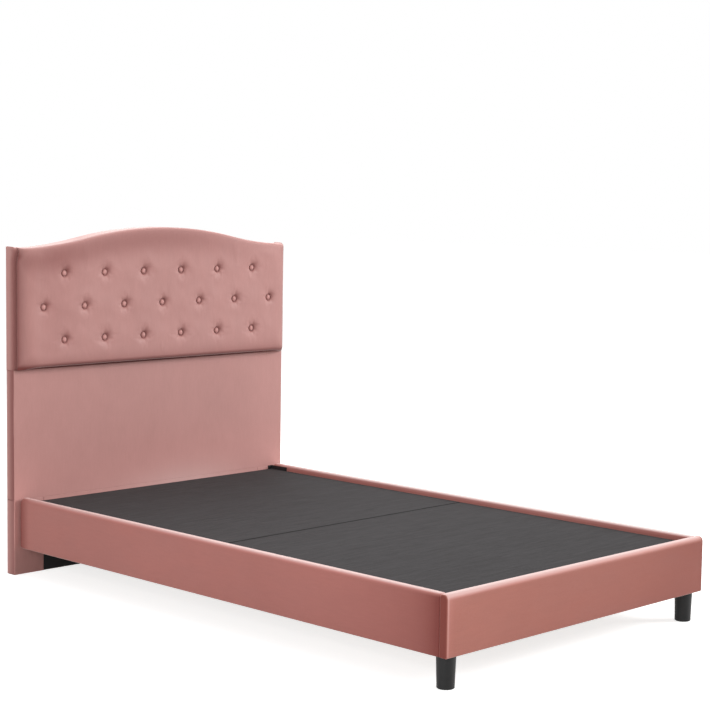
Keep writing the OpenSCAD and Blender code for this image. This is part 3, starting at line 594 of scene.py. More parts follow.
def steps(low, high, pitch):
    """Evenly spaced places from low to high, no further apart than the pitch."""
    return np.linspace(low, high, max(2, math.ceil((high - low) / pitch) + 1))


def marked_steps(low, high, pitch, fine, marks, reach):
    """Places from low to high that lie closer together round each mark."""
    places = [low]
    while places[-1] < high:
        near = min(abs(places[-1] + fine - mark) for mark in marks)
        ease = min(1.0, max(0.0, near / reach - 1.0))
        places.append(places[-1] + fine + (pitch - fine) * ease)
    places = np.array(places)
    return low + (places - low) * (high - low) / (places[-1] - low)


def edged_steps(low, high, radius, pitch, arc=6):
    """Places from low to high that lie close together within a round edge at each end."""
    bend = radius * (1 - np.cos(np.linspace(0, math.pi / 2, arc)))
    bend = np.append(bend, EDGE_HOLD * radius)
    middle = steps(low + EDGE_HOLD * radius, high - EDGE_HOLD * radius, pitch)[1:-1]
    return np.concatenate([low + bend, middle, high - bend[::-1]])


def waves(x, y, z, size):
    """The gentle unevenness of stretched cloth, from -1 to 1, with bumps about one size apart."""
    a, b, c = (2 * math.pi * np.asarray(v) / size for v in (x, y, z))
    first = np.sin(a + 1.3 * np.sin(0.7 * c + 0.4 * b)) * np.cos(0.8 * c + 1.1 * np.sin(0.6 * a))
    second = np.sin(0.9 * b + 1.7 + np.sin(0.5 * c)) * np.cos(0.55 * a + 0.8 * c + 0.6)
    return 0.5 * (first + second)


def fade(distance, reach, power=2):
    """1 at no distance, falling smoothly to 0 beyond the reach."""
    return np.exp(-(distance / reach) ** power)


def round_in(distance, radius):
    """How far a round edge draws in, at a distance from the end of the piece."""
    t = np.clip(distance / radius, 0, 1)
    return radius * (1 - np.sqrt(1 - (1 - t) ** 2))


def lens(t):
    """A flat crown over 0 to 1."""
    return 1 - (2 * np.clip(t, 0, 1) - 1) ** 4


# Tufted pad of the headboard

band_low, band_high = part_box("top_band")
pad_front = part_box("tufted_pad")[0].y
board_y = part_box("tufted_pad")[1].y
half_w = band_high.x
pad_low = band_low.z
wood_back = band_high.y
back_y = wood_back + VELVET_T
seam_x = half_w - SEAM_IN
seam_y = band_low.y + SEAM_BACK
crown_h = seam_y - pad_front
shoulder_z = band_high.z - ARCH_RISE
ear_z = shoulder_z - TOP_Z

arch_angle = 2 * math.atan(ARCH_RISE / half_w)
arc_sum = half_w / math.sin(arch_angle)
crown_r = CROWN_SHARE * arc_sum
shoulder_r = arc_sum - crown_r

quarter = np.linspace(0, math.pi / 2, 11)
front_z = marked_steps(pad_low + LIP_GAP + LOW_Z, shoulder_z - BOW_H, CELL, FINE_CELL,
                       [pad_low + BUTTON_RISE + k * BUTTON_DZ for k in range(BUTTON_ROWS)],
                       BUTTON_REACH)


def arch_z(x):
    """Height of the headboard's arch at each x."""
    a = np.minimum(np.abs(x), half_w)
    crown = band_high.z - crown_r + np.sqrt(crown_r ** 2 - a ** 2)
    shoulder = shoulder_z + shoulder_r - np.sqrt(shoulder_r ** 2 - (half_w - a) ** 2)
    return np.where(a < crown_r * math.sin(arch_angle), crown, shoulder)


def button_places():
    places = []
    for row in range(BUTTON_ROWS):
        shift = 0.5 if row % 2 == 0 else 0.0
        for k in range(-SIDE_BUTTONS, SIDE_BUTTONS + (0 if shift else 1)):
            places.append(((k + shift) * BUTTON_DX, pad_low + BUTTON_RISE + row * BUTTON_DZ))
    return places


def tufts(x, z):
    """How far the buttons draw the pad's face in, with a crease and small pleats round each."""
    total = np.zeros_like(x)
    for i, (bx, bz) in enumerate(button_places()):
        r = np.hypot(x - bx, z - bz)
        turn = np.arctan2(z - bz, x - bx)
        pleats = np.cos((5 + i % 3) * turn + 1.9 * i) + 0.6 * np.cos((3 + i % 2) * turn + 0.7 * i)
        total += PULL_H * fade(r, PULL_R) + TUFT_H * fade(r, TUFT_R, 1.5)
        total += CREASE_H * fade(r, CREASE_R, 6)
        total += PUCKER_H * pleats * fade(r - PUCKER_R, PUCKER_W)
    return total


def pad_columns():
    """Places across the pad, and how far forward of the seam its face has rolled at each."""
    turn = np.linspace(0, 1, ROLL_STEPS)[:-1] ** ROLL_EASE * math.pi / 2
    rolled = np.sin(turn)
    roll = seam_x - ROLL_W * (1 - np.cos(turn)) + SIDE_OUT * (1 - np.exp(-SIDE_FILL * rolled))
    marks = [0.5 * BUTTON_DX * k for k in range(2 * SIDE_BUTTONS + 1)]
    half = marked_steps(0.0, seam_x + SIDE_OUT - ROLL_W, CELL, FINE_CELL, marks, BUTTON_REACH)
    flat = np.concatenate([-half[:0:-1], half])
    return (np.concatenate([-roll, flat, roll[::-1]]),
            np.concatenate([rolled, np.ones_like(flat), rolled[::-1]]))


def in_ear(z):
    """1 in the full corner at the shoulder, fading out below it."""
    return fade(np.maximum(ear_z - z, 0), EAR_H)


def pad_skin(x, share):
    """Y and Z of the pad's outer face at one column, from under its lip over its top to the back."""
    top = float(arch_z(x))
    crest = top - TOP_Z
    lip = pad_low + LIP_GAP * (1 - fade(seam_x - abs(x), LIP_W))
    low_z = LOW_Z + pad_low + LIP_GAP - lip
    low_y = LOW_Y * share + LIP_R
    top_y = TOP_Y + (CORNER_Y - TOP_Y) * (1 - share)

    def face(z, bow=0.0):
        return seam_y - crown_h * share - EAR * (1 - share) * in_ear(z) + BOW * share ** 2 * bow ** 2

    under = [(face(lip) + low_y * (1 - math.sin(t)), lip + low_z * (1 - math.cos(t)))
             for t in quarter]
    front = [(face(z), z) for z in front_z[1:]]
    bows = np.linspace(0, 1, BOW_STEPS)[1:]
    over = [(face(z, b), z) for b, z in zip(bows, front_z[-1] + bows * (crest - front_z[-1]))]
    edge = over[-1][0]
    over += [(edge + top_y * (1 - math.cos(t)), crest + TOP_Z * math.sin(t)) for t in quarter[1:]]
    run = np.linspace(edge + top_y, back_y - BACK_R, TOP_STEPS + 1)[1:]
    return np.array(under + front + over + [(y, top) for y in run])


def pad_rings():
    """Rings of points round the pad, one for each column: its skin, then round behind the board."""
    rings = []
    for x, share in zip(*pad_columns()):
        skin = pad_skin(x, share)
        top, lip = skin[-1, 1], skin[0, 1]
        behind = [(back_y - BACK_R + BACK_R * math.sin(t), top - BACK_R * (1 - math.cos(t)))
                  for t in quarter[2::2]]
        fold = top - BACK_R - BACK_FOLD
        foot = pad_low + HEM_UP
        inner = [(back_y, fold), (wood_back, fold), (wood_back - VELVET_T, top - 2 * VELVET_T),
                 (board_y, top - 2 * VELVET_T), (board_y, 0.5 * (top + lip)), (board_y, foot),
                 (seam_y - VELVET_T, foot), (seam_y - VELVET_T, lip)]
        y, z = np.concatenate([skin, behind, inner]).T
        near_seam = max(0.0, (abs(x) - seam_x + ROLL_W) / ROLL_W) ** 2
        drawn = np.full(len(y), x) - math.copysign(1, x) * EAR_IN * near_seam * in_ear(z)
        rings.append(np.column_stack([drawn, y, z]))
    rings = np.array(rings)
    soft = slice(0, len(skin) - TOP_STEPS)
    x, y, z = (rings[:, soft, k] for k in range(3))
    forward = np.clip((seam_y - y) / crown_h, 0, 1)
    rings[:, soft, 1] = y + forward * (tufts(x, z) + PAD_WAVE * waves(x, y, z, PAD_WAVE_L))
    return rings


def loose(x, y, z):
    """Whether a point of the pad is free to swell: in its face, and clear of seams and buttons."""
    if y > seam_y - PIN_BACK or abs(x) > seam_x - PIN_SIDE or z < pad_low + LIP_GAP + PIN_LIP:
        return False
    if z > arch_z(x) - TOP_Z:
        return False
    return all(math.hypot(x - bx, z - bz) > CREASE_R + PIN_CREASE for bx, bz in button_places())


def swell(piece, free, pressure, cap):
    """Lets the cloth swell between its pins; no point moves further than the cap."""
    start = np.array([v.co for v in piece.data.vertices])
    pinned = [i for i, point in enumerate(start) if not free(*point)]
    piece.vertex_groups.new(name="pins").add(pinned, 1.0, "REPLACE")
    cloth = piece.modifiers.new("cloth", "CLOTH")
    settings = cloth.settings
    settings.vertex_group_mass = "pins"
    settings.use_pressure = True
    settings.uniform_pressure_force = pressure
    settings.effector_weights.gravity = 0
    cloth.point_cache.frame_end = SWELL_FRAMES
    scene = bpy.context.scene
    for step in range(1, SWELL_FRAMES + 1):
        scene.frame_set(step)
    swollen = piece.evaluated_get(bpy.context.evaluated_depsgraph_get())
    moved = np.array([v.co for v in swollen.data.vertices]) - start
    piece.modifiers.clear()
    scene.frame_set(1)
    length = np.maximum(np.linalg.norm(moved, axis=1, keepdims=True), 1e-9)
    moved *= np.minimum(1.0, cap / length)
    piece.data.vertices.foreach_set("co", (start + moved).ravel())
    piece.data.update()


def pad_painted_light(rings):
    """Painted shade in the seams, under the lip, in the crease round each button and to the upper
    right of each tuft; painted highlight at the top corners and to the lower left of each tuft; a
    slight darkening of the face and darker bands on its upper left.
    """
    x, y, z = np.moveaxis(rings, 2, 0)
    below = arch_z(x) - z
    from_seam = np.hypot(np.abs(x) - seam_x, y - seam_y)
    side = SEAM_SHADE * fade(from_seam, SEAM_SHADE_W, 1) + SEAM_CORE * fade(from_seam, SEAM_CORE_W)
    side += SHOULDER_SHADE * fade(from_seam, SEAM_SHADE_W) * fade(below - SHOULDER_DROP, SHOULDER_H)
    side *= 1 - CREST_CLEAR * fade(below, CREST_H)
    above_lip = np.maximum(z - pad_low - LIP_GAP, 0)
    lip = LIP_CORE * fade(above_lip, LIP_CORE_H) + LIP_SHADE * fade(above_lip, LIP_SHADE_H)
    # brushed holds the darker bands below the top and on the left, with the painted shade and
    # painted highlight round the tufts and at the top corners added in
    brushed = UPPER_DARK * fade(below - UPPER_DARK_DROP, UPPER_DARK_H)
    brushed /= 1 + np.exp((x - UPPER_DARK_TO) / UPPER_DARK_FADE)
    brushed += FACE_DARK + LEFT_DARK * fade(x - LEFT_X, LEFT_W)
    brushed -= CORNER_HIGHLIGHT * fade(below, CORNER_HIGHLIGHT_H) * fade(seam_x - np.abs(x), CORNER_HIGHLIGHT_W, 1)
    crease = np.zeros_like(x)
    for bx, bz in button_places():
        dx, dz = x - bx, z - bz
        crease = np.maximum(crease, fade(np.hypot(dx, dz), CREASE_SHADE_R, 8))
        brushed += TUFT_SHADE * fade(np.hypot(dx - TUFT_SPOT_OFF, dz - TUFT_SPOT_OFF), TUFT_SPOT_R)
        brushed -= TUFT_HIGHLIGHT * fade(np.hypot(dx + TUFT_SPOT_OFF, dz + TUFT_SPOT_OFF), TUFT_SPOT_R)
    return np.maximum(np.minimum(np.maximum.reduce([side, crease, brushed]), 1), lip)


def make_pad(material):
    rings = pad_rings()
    verts, faces = swept(rings)
    pad = new_piece("pad_cover", verts, faces, material, ("tufted_pad", "top_band"))
    # Painted shade and painted highlight over the pad
    set_painted_light(pad, pad_painted_light(rings).ravel(), DEEPEST_SHADE)
    swell(pad, loose, SWELL_PRESSURE, SWELL_CAP)


def make_buttons(material):
    """Covered buttons: a dome with the cloth drawn over its rim in small pleats."""
    profile = [(r * MM, h * MM) for r, h in BUTTON_PROFILE]
    count = BUTTON_SIDES
    turns = 2 * math.pi * np.arange(count) / count
    verts, faces = [], []
    for i, (bx, bz) in enumerate(button_places()):
        seat = pad_front + float(tufts(np.array([bx]), np.array([bz]))[0]) - 0.5 * CREASE_H
        first = len(verts)
        verts.append((bx, seat - profile[0][1], bz))
        for r, h in profile[1:-1]:
            pleat = BUTTON_PLEAT_H * np.cos(BUTTON_PLEATS * turns + i) * (r / BUTTON_R) ** 3
            verts += [(bx + (r + p) * math.cos(t), seat - h, bz + (r + p) * math.sin(t))
                      for p, t in zip(pleat, turns)]
        verts.append((bx, seat - profile[-1][1], bz))
        last = len(verts) - 1
        lowest = last - count
        faces += [(first, first + 1 + j, first + 1 + (j + 1) % count) for j in range(count)]
        faces += [tuple(first + 1 + k for k in quad)
                  for quad in strip_faces(len(profile) - 2, count, True)]
        faces += [(last, lowest + (j + 1) % count, lowest + j) for j in range(count)]
    buttons = new_piece("buttons", verts, faces, material, ("tuft_buttons",))
    # Painted shade round each button's rim and a painted highlight over its dome
    rim = np.concatenate([[0.0], np.repeat([r for r, _ in profile[1:-1]], count), [BUTTON_R]])
    edge_shade = np.clip((rim / BUTTON_R - BUTTON_RIM) / (1 - BUTTON_RIM), 0, 1)
    set_painted_light(buttons, np.tile(edge_shade - BUTTON_HIGHLIGHT, len(button_places())))


def away_from(line, points):
    """Distance of each point to a line of straight pieces, in a plane."""
    start, along = line[:-1], np.diff(line, axis=0)
    offset = points[:, None] - start
    share = np.clip((offset * along).sum(2) / np.maximum((along ** 2).sum(1), 1e-12), 0, 1)
    return np.linalg.norm(offset - share[..., None] * along, axis=2).min(1)


def make_gusset(name, side, material):
    """Side strip of the pad: it starts in the seam, fills out at once and turns in at the back."""
    seam = pad_skin(seam_x, 0.0)
    over = np.cumsum(seam[:, 1] > ear_z)
    rise = over / over[-1]
    heights = np.minimum(seam[:, 1], ear_z) + rise * (shoulder_z - BACK_R - ear_z)
    across = np.concatenate([np.linspace(0, 0.3, 9)[:-1], np.linspace(0.3, 0.8, 7)[:-1],
                             np.linspace(0.8, 1, 7)])[:, None]
    wood_top = shoulder_z - VELVET_T - BY_WOOD_Z
    front_seam = seam[seam[:, 1] <= ear_z]
    rings, painted_light = [], []
    for start, z1, top in zip(seam, heights, rise):
        row = start + across * (np.array([back_y, z1]) - start)
        gap = away_from(seam, row)
        seam_at = seam_x - EAR_IN * float(in_ear(start[1]))
        x = half_w - (half_w - seam_at) * fade(gap, STRIP_LIP, 1)
        y, z = row.T
        x += STRIP_FULL * lens(across[:, 0]) - round_in(back_y - y, STRIP_BACK_R)
        by_wood = (y > board_y - BY_WOOD_Y) & (y < wood_back) & (z < wood_top)
        x = np.where(by_wood, np.maximum(x, half_w - VELVET_T + STRIP_OVER_WOOD), x)
        depth = np.clip((y - start[0]) / (back_y - start[0]), 0, 1)
        puff = STRIP_PUFF * min(1.0, 3 * top) * (1 - fade(gap, MM, 1)) * fade(gap, STRIP_PUFF_W, 1)
        puff *= STRIP_PUFF_LEAST + (1 - STRIP_PUFF_LEAST) * np.sqrt(4 * depth * (1 - depth))
        outer = np.column_stack([x, y, z + puff])
        inner_x = seam_at - STRIP_INNER
        ring = np.concatenate([outer, [(inner_x, back_y - HEM_UP, z1),
                                       (inner_x, start[0] + HEM_UP, start[1])]])
        ring[:, 0] *= side
        rings.append(ring)
        # Painted shade along the front seam, deeper in the seam line
        shade = STRIP_SEAM_SHADE * fade(away_from(front_seam, row), STRIP_SHADE)
        painted_light += [*np.maximum(shade, SEAM_LINE_SHADE * fade(gap, SEAM_LINE_W)), 0.0, 0.0]
    verts, faces = swept(np.array(rings))
    gusset = new_piece(name, verts, faces, material, ("top_band",))
    set_painted_light(gusset, painted_light)


# Flat modules of the headboard

joint_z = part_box("middle_cover")[0].z


def wrap_painted_light(points, low, high, fold_y, end_r):
    """Painted shade behind the side folds and at the joints, and painted light low down on the face.
    """
    x, y, z = points.T
    past_edge = np.minimum(z - low.z, high.z - z) / end_r - 1
    joint_shade = np.clip(1 - past_edge / (EDGE_HOLD - 1), 0, 1)
    edge_shade = np.where(z > joint_z, MIDDLE_FOLD_SHADE, BASE_FOLD_SHADE) * fade(y - fold_y, FOLD_W)
    low_light = LOW_LIGHT * fade(np.maximum(z - joint_z, 0), LOW_LIGHT_H, LOW_LIGHT_EASE)
    low_light *= LOW_LIGHT_LEAST + (1 - LOW_LIGHT_LEAST) * fade(x - LOW_LIGHT_X, LOW_LIGHT_W)
    low_light *= np.clip((z - LOW_LIGHT_FROM) / LOW_LIGHT_OVER, 0, 1)
    return np.where(y > fold_y - 0.5 * WRAP_R, np.maximum(edge_shade, joint_shade), -low_light)


def wrap_side(depth, skin, wrapped):
    """The velvet's way round one side, as places inward and backward of the face's corner."""
    if not wrapped:
        return [(0, skin - CUT_BACK)] + CUT_EDGE
    side = [(0, y) for y in np.linspace(depth, WRAP_R, 7)[:-1]]
    return side + [(WRAP_R * (1 - math.cos(t)), WRAP_R * (1 - math.sin(t)))
                   for t in np.linspace(0, math.pi / 2, 7)]


def make_wrap(name, node, skin, crown, wrapped, material, end_r=WRAP_END):
    """Velvet over a flat module's face, and round its left and right side where wrapped says so."""
    low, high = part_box(node)
    x0, x1, face = low.x, high.x, low.y
    left, right = (wrap_side(wood_back - face, skin, goes_round) for goes_round in wrapped)
    hold = (EDGE_HOLD - 1) * WRAP_R
    path = [(x0 + a, face + b) for a, b in left]
    path += [(x, face) for x in steps(x0 + left[-1][0] + hold, x1 - right[-1][0] - hold, WRAP_CELL)]
    path = np.array(path + [(x1 - a, face + b) for a, b in reversed(right)])
    rings = []
    for z in edged_steps(low.z, high.z, end_r, WRAP_CELL):
        tuck = round_in(min(z - low.z, high.z - z), end_r)
        x, y = path[:, 0].copy(), path[:, 1].copy()
        on_face = np.clip(1 - (y - face) / WRAP_R, 0, 1)
        full = lens((x - x0) / (x1 - x0)) * lens((z - low.z) / (high.z - low.z))
        y -= on_face * (crown * full - FACE_TUCK * tuck - FACE_WAVE * waves(x, y, z, FACE_WAVE_L))
        depth = (y - face - WRAP_R) / (wood_back - face - WRAP_R)
        outward = np.where(x < 0, -1.0, 1.0) * (1 - on_face)
        x += outward * (SIDE_FULL * np.clip(4 * depth * (1 - depth), 0, 1) - tuck)
        rings.append(np.column_stack([x, y, np.full(len(x), z)]))
    rings = np.array(rings)
    points = rings.reshape(-1, 3)
    faces = strip_faces(*rings.shape[:2], False)
    piece = new_piece(name, points, faces, material, (node,))
    # Painted shade and painted light on the velvet
    set_painted_light(piece, wrap_painted_light(points, low, high, face + WRAP_R, end_r))
    thicken(piece, skin, Vector((0, -1, 0)))
    for vertex in piece.data.vertices:
        vertex.co.z = min(max(vertex.co.z, low.z), high.z)


def make_flat_cloth(name, height, x, z0, y0, y1, material, inset):
    """A stapled lining cloth: flat, a little slack between its staples, with a folded edge."""
    columns = edged_steps(-x + inset, x - inset, LINING_EDGE, LINING_CELL, 4)
    rings = []
    for s in np.linspace(0, 1, LINING_ROWS):
        z = z0 + inset + s * (height(columns) - inset - z0 - inset)
        edge = np.minimum.reduce([columns + x - inset, x - inset - columns,
                                  z - z0 - inset, height(columns) - inset - z])
        fold = fade(edge, LINING_HEM_W, 4)
        slack = LINING_SLACK * waves(columns, 0.3, z, LINING_WAVE_L)
        rings.append(np.column_stack([columns, y1 + slack * (1 - fold) + LINING_HEM * fold, z]))
    rings = np.array(rings)
    piece = new_piece(f"{name}_lining", rings.reshape(-1, 3), strip_faces(*rings.shape[:2], False),
                      material, (f"{name}_cloth",))
    thicken(piece, abs(y1 - y0), Vector((0, y1 - y0, 0)))


def level(z):
    """The top outline of a lining that is cut straight."""
    return lambda x: np.full(len(x), z)


def tube(path, across, radius, sides=6):
    """Points of a bent round wire: a ring at each point of a path that lies square to across."""
    turn = 2 * math.pi * np.arange(sides) / sides
    rings = []
    for i, point in enumerate(path):
        along = path[min(i + 1, len(path) - 1)] - path[max(i - 1, 0)]
        up = np.cross(along / np.linalg.norm(along), across)
        rings.append(point + radius * (np.cos(turn)[:, None] * across + np.sin(turn)[:, None] * up))
    return np.array(rings)


def staple_places(x, z0, height):
    """Places and slopes of the staples round a lining that reaches x to each side of the middle."""
    places = []
    for px in steps(-x + STAPLE_PITCH / 2, x - STAPLE_PITCH / 2, STAPLE_PITCH):
        before, here, after = height(np.array([px - MM, px, px + MM]))
        places += [(px, here, math.atan2(after - before, 2 * MM)), (px, z0, 0.0)]
    side_top = height(np.array([x]))[0]
    for pz in steps(z0 + STAPLE_PITCH / 2, side_top - STAPLE_PITCH / 2, STAPLE_PITCH):
        places += [(-x, pz, math.pi / 2), (x, pz, math.pi / 2)]
    return [place for place in places if not under_plate(*place[:2])]


def under_plate(x, z):
    """Whether a joining plate lies over a place on the back."""
    corners = np.array([v.co for v in nodes["joining_plates"].data.vertices])
    across = np.abs(corners[:, 0])
    beside = across.min() - STAPLE_CLEAR < abs(x) < across.max() + STAPLE_CLEAR
    return beside and np.abs(corners[:, 2] - z).min() < PLATE_REACH


def make_staples(linings, y, material):
    """Wire staples along the edges of the linings, each a little askew."""
    verts, faces = [], []
    for edges in linings:
        for i, (px, pz, slope) in enumerate(staple_places(*edges)):
            turn = slope + STAPLE_ASKEW * math.sin(2.4 * i)
            along = np.array([math.cos(turn), 0.0, math.sin(turn)])
            across = np.array([-math.sin(turn), 0.0, math.cos(turn)])
            path = np.array([np.array([px, y + out * MM, pz]) + a * MM * along
                             for a, out in STAPLE_BEND])
            points, quads = swept(tube(path, across, STAPLE_R))
            faces += [tuple(len(verts) + k for k in face) for face in quads]
            verts += list(points)
    new_piece("staples", verts, faces, material)


# Rails

def section_corners(u0, u1, v0, v1, out):
    """Arcs at the corners of a rail's section, lower right first; the top rolls over outwards."""
    turn = np.linspace(0, math.pi / 2, 7)
    half_u, half_v = 0.499 * (u1 - u0), 0.499 * (v1 - v0)
    arcs = []
    for k, (right, top) in enumerate([(1, 0), (1, 1), (0, 1), (0, 0)]):
        if not top:
            ru, rv = LOW_EDGE_R, LOW_EDGE_R
        elif (out > 0) == bool(right):
            ru, rv = ROLL_U, ROLL_Z
        else:
            ru, rv = EDGE_R, EDGE_R
        ru, rv = min(ru, half_u), min(rv, half_v)
        angle = turn + (k - 1) * math.pi / 2
        arcs.append(np.column_stack([(u1 - ru if right else u0 + ru) + ru * np.cos(angle),
                                     (v1 - rv if top else v0 + rv) + rv * np.sin(angle)]))
    return arcs


# Points between the arcs, on the sides that end at each of the four corners
SECTION_SIDES = (4, 16, 4, 16)


def section_ring(u0, u1, v0, v1, out):
    """A closed ring with the same number of points whatever its size."""
    parts = section_corners(u0, u1, v0, v1, out)
    ring = []
    for k, part in enumerate(parts):
        ring.append(part)
        start, end = part[-1], parts[(k + 1) % 4][0]
        count = SECTION_SIDES[(k + 1) % 4]
        ring.append(start + (end - start) * np.linspace(0, 1, count + 2)[1:-1, None])
    return np.concatenate(ring)


def make_rail(word, along, ends, material, out, square=1.0):
    """A padded rail: its section is a round-edged rectangle that draws in at both ends."""
    low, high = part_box(f"{word}_rail_cover")
    across = 1 - along
    middle = (low[across] + high[across]) / 2
    reach = (high[across] - low[across]) / 2
    places = np.unique(np.concatenate([
        edged_steps(low[along], high[along], max(ends), RAIL_CELL, 12),
        edged_steps(low[along], high[along], EDGE_R, RAIL_CELL, 8)]))
    rings = []
    for p in places:
        d0, d1 = p - low[along], high[along] - p
        drawn_z = round_in(d0, ends[0]) + round_in(d1, ends[1])
        drawn_u = round_in(d0, min(EDGE_R, ends[0])) + round_in(d1, min(EDGE_R, ends[1]))
        ring = section_ring(low[across] + drawn_u, high[across] - drawn_u,
                            low[2] + square * drawn_z, high[2] - drawn_z, out)
        u, z = ring[:, 0], ring[:, 1]
        side = (u - middle) / reach
        upright = np.clip(np.abs(side), 0, 1) ** 3 * lens((z - low[2]) / (high[2] - low[2]))
        full = 1 - fade(min(d0, d1), RAIL_FULL_FROM)
        crown = (RAIL_CROWN + RAIL_WAVE * waves(p, u * 3, z, RAIL_WAVE_L)) * full
        crown *= np.where(side * out > 0, 1.0, INNER_CROWN)
        rise = np.where(z > (low[2] + high[2]) / 2, RAIL_TOP_CROWN, RAIL_LOW_CROWN)
        points = np.empty((len(u), 3))
        points[:, along] = p
        points[:, across] = u + np.sign(side) * upright * crown
        points[:, 2] = z + rise * (1 - side ** 2) * full
        rings.append(points)
    verts, faces = swept(np.array(rings))
    rail = new_piece(f"{word}_rail_velvet", verts, faces, material,
                     (f"{word}_rail_cover",))
    return rail, verts, low, high


def shade_side_rail(rail, verts, low, high):
    """Painted shade towards both ends of a side rail and in the shadow line at its head end; painted
    highlight along its top and inside.
    """
    to_foot, to_head = verts[:, 1] - low.y, high.y - verts[:, 1]
    flat = HEAD_END_SHADE * np.clip(1 - to_head / HEAD_END_L, 0, 1)
    flat += FOOT_SHADE * fade(to_foot, FOOT_SHADE_L, 1) + FOOT_END_SHADE * fade(to_foot, FOOT_END_L, 1)
    flat = np.minimum(flat, 1) + HEAD_LINE_SHADE * fade(to_head, HEAD_LINE_L)
    top = np.clip(1 - (high.z - verts[:, 2]) / RAIL_TOP_H, 0, 1)
    pale = (LEFT_TOP_HIGHLIGHT if low.x < 0 else RIGHT_TOP_HIGHLIGHT) * (1 - HEAD_DULL * fade(to_head, HEAD_DULL_L, 1))
    inside = np.abs(verts[:, 0]) < min(abs(low.x), abs(high.x)) + EDGE_R
    face = np.where(inside, INSIDE_SHARE * flat - INSIDE_HIGHLIGHT, flat)
    set_painted_light(rail, face * (1 - top) - pale * top, DEEPEST_SHADE)


def shade_foot_rail(rail, verts, low, high):
    """Painted shade on the ends and towards the far end, and painted highlight down the near corner
    and along the top of the foot rail.
    """
    to_near, to_far = verts[:, 0] - low.x, high.x - verts[:, 0]
    to_end = np.minimum(to_near, to_far)
    up = (verts[:, 2] - low.z) / (high.z - low.z)
    end = np.clip(1 - to_end / ENDS_L, 0, 1)
    corner = NEAR_HIGHLIGHT * fade(to_near - NEAR_X, NEAR_X)
    corner += NEAR_HIGH_HIGHLIGHT * up ** 2 * fade(to_near, NEAR_HIGH_L, 1)
    top = np.clip(1 - (high.z - verts[:, 2]) / FOOT_TOP_H, 0, 1) * np.clip(to_end / FOOT_TOP_L, 0, 1)
    far_shade = FAR_SHADE * (to_near / (high.x - low.x)) ** FAR_EASE
    far_shade += FAR_END_SHADE * fade(to_far, FAR_END_L, 1)
    front = (far_shade - corner) * (1 - top) - FOOT_TOP_HIGHLIGHT * top
    set_painted_light(rail, end + (1 - end) * front)


# Deck panels

def box_grid(xs, ys, zs):
    """The skin of a block without its underside, on a net of places along X, Y and Z."""
    verts, index, faces = [], {}, []

    def at(i, j, k):
        key = (i, j, k)
        if key not in index:
            index[key] = len(verts)
            verts.append((xs[i], ys[j], zs[k]))
        return index[key]

    nx, ny, nz = len(xs) - 1, len(ys) - 1, len(zs) - 1
    for i in range(nx):
        for j in range(ny):
            faces.append((at(i, j, nz), at(i + 1, j, nz), at(i + 1, j + 1, nz), at(i, j + 1, nz)))
    for k in range(nz):
        for i in range(nx):
            faces.append((at(i, 0, k), at(i + 1, 0, k), at(i + 1, 0, k + 1), at(i, 0, k + 1)))
            faces.append((at(i + 1, ny, k), at(i, ny, k), at(i, ny, k + 1), at(i + 1, ny, k + 1)))
        for j in range(ny):
            faces.append((at(0, j + 1, k), at(0, j, k), at(0, j, k + 1), at(0, j + 1, k + 1)))
            faces.append((at(nx, j, k), at(nx, j + 1, k), at(nx, j + 1, k + 1), at(nx, j, k + 1)))
    return np.array(verts), faces


def make_deck_cover(word, material):
    """Cloth drawn over a deck panel: round edges, small rucks along them, and painted shade in the
    seam.
    """
    node = f"deck_{word}_cover"
    low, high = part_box(node)
    xs = edged_steps(low.x, high.x, DECK_R, DECK_CELL, 5)
    ys = edged_steps(low.y, high.y, DECK_R, DECK_CELL, 5)
    zs = np.concatenate([steps(low.z, high.z - DECK_R, DECK_SIDE_CELL)[:-1],
                         high.z - DECK_R * (1 - np.sin(np.linspace(0, math.pi / 2, 5)))])
    verts, faces = box_grid(xs, ys, zs)
    core = np.clip(verts, [low.x + DECK_R, low.y + DECK_R, low.z],
                   [high.x - DECK_R, high.y - DECK_R, high.z - DECK_R])
    away = verts - core
    length = np.maximum(np.linalg.norm(away, axis=1, keepdims=True), 1e-9)
    verts = np.where(length > 1e-6, core + away / length * DECK_R, verts)
    x, y, z = verts.T
    edge = np.minimum.reduce([x - low.x, high.x - x, y - low.y, high.y - y])
    on_top = np.clip((z - high.z + DECK_R) / DECK_R, 0, 1)
    slack = np.clip(edge / DECK_SLACK_W, 0, 1) * waves(x, y, 0.2, DECK_WAVE_L) - 1
    ruck = np.sin(2 * math.pi * x / RUCK_L + 2 * np.sin(9 * x)) * fade(edge, RUCK_W)
    verts[:, 2] += on_top * (DECK_SLACK * slack + RUCK_H * ruck)
    cover = new_piece(f"{word}_deck_cloth", verts, faces, material, (node,),
                      f"{word}_deck")
    # Painted shade within a few millimetres of the seam
    seam_y = low.y if word == "head" else high.y
    set_painted_light(cover, np.maximum(DECK_SEAM_W - np.abs(y - seam_y), 0) / DECK_R)
    thicken(cover, DECK_CLOTH_T, Vector((0, 0, 1)))


def dress(material, *names):
    """Gives CAD nodes that keep their shape a finished material."""
    for name in names:
        node = nodes[name]
        if not node.material_slots:
            node.data.materials.append(material)
        for slot in node.material_slots:
            slot.material = material


make_camera()
make_world()
make_floor()
for lamp in LAMPS:
    area_light(*lamp)

# The headboard's and the foot rail's velvet are copies of the side rails' with painted light and
# painted shade in their tones
lit_head_velvet = velvet("lit_head_velvet", *HEAD_LIT_TONES, HEAD_STREAK)
rail_velvet = velvet("rail_velvet", *RAIL_TONES, RAIL_STREAK)
shaded_foot_velvet = velvet("shaded_foot_velvet", *FOOT_SHADED_TONES, RAIL_STREAK)
black_lining = lining()
plated = zinc()

make_pad(lit_head_velvet)
make_buttons(velvet("button_velvet", *HEAD_LIT_TONES, BUTTON_STREAK))
make_gusset("left_gusset", -1, lit_head_velvet)
make_gusset("right_gusset", 1, lit_head_velvet)

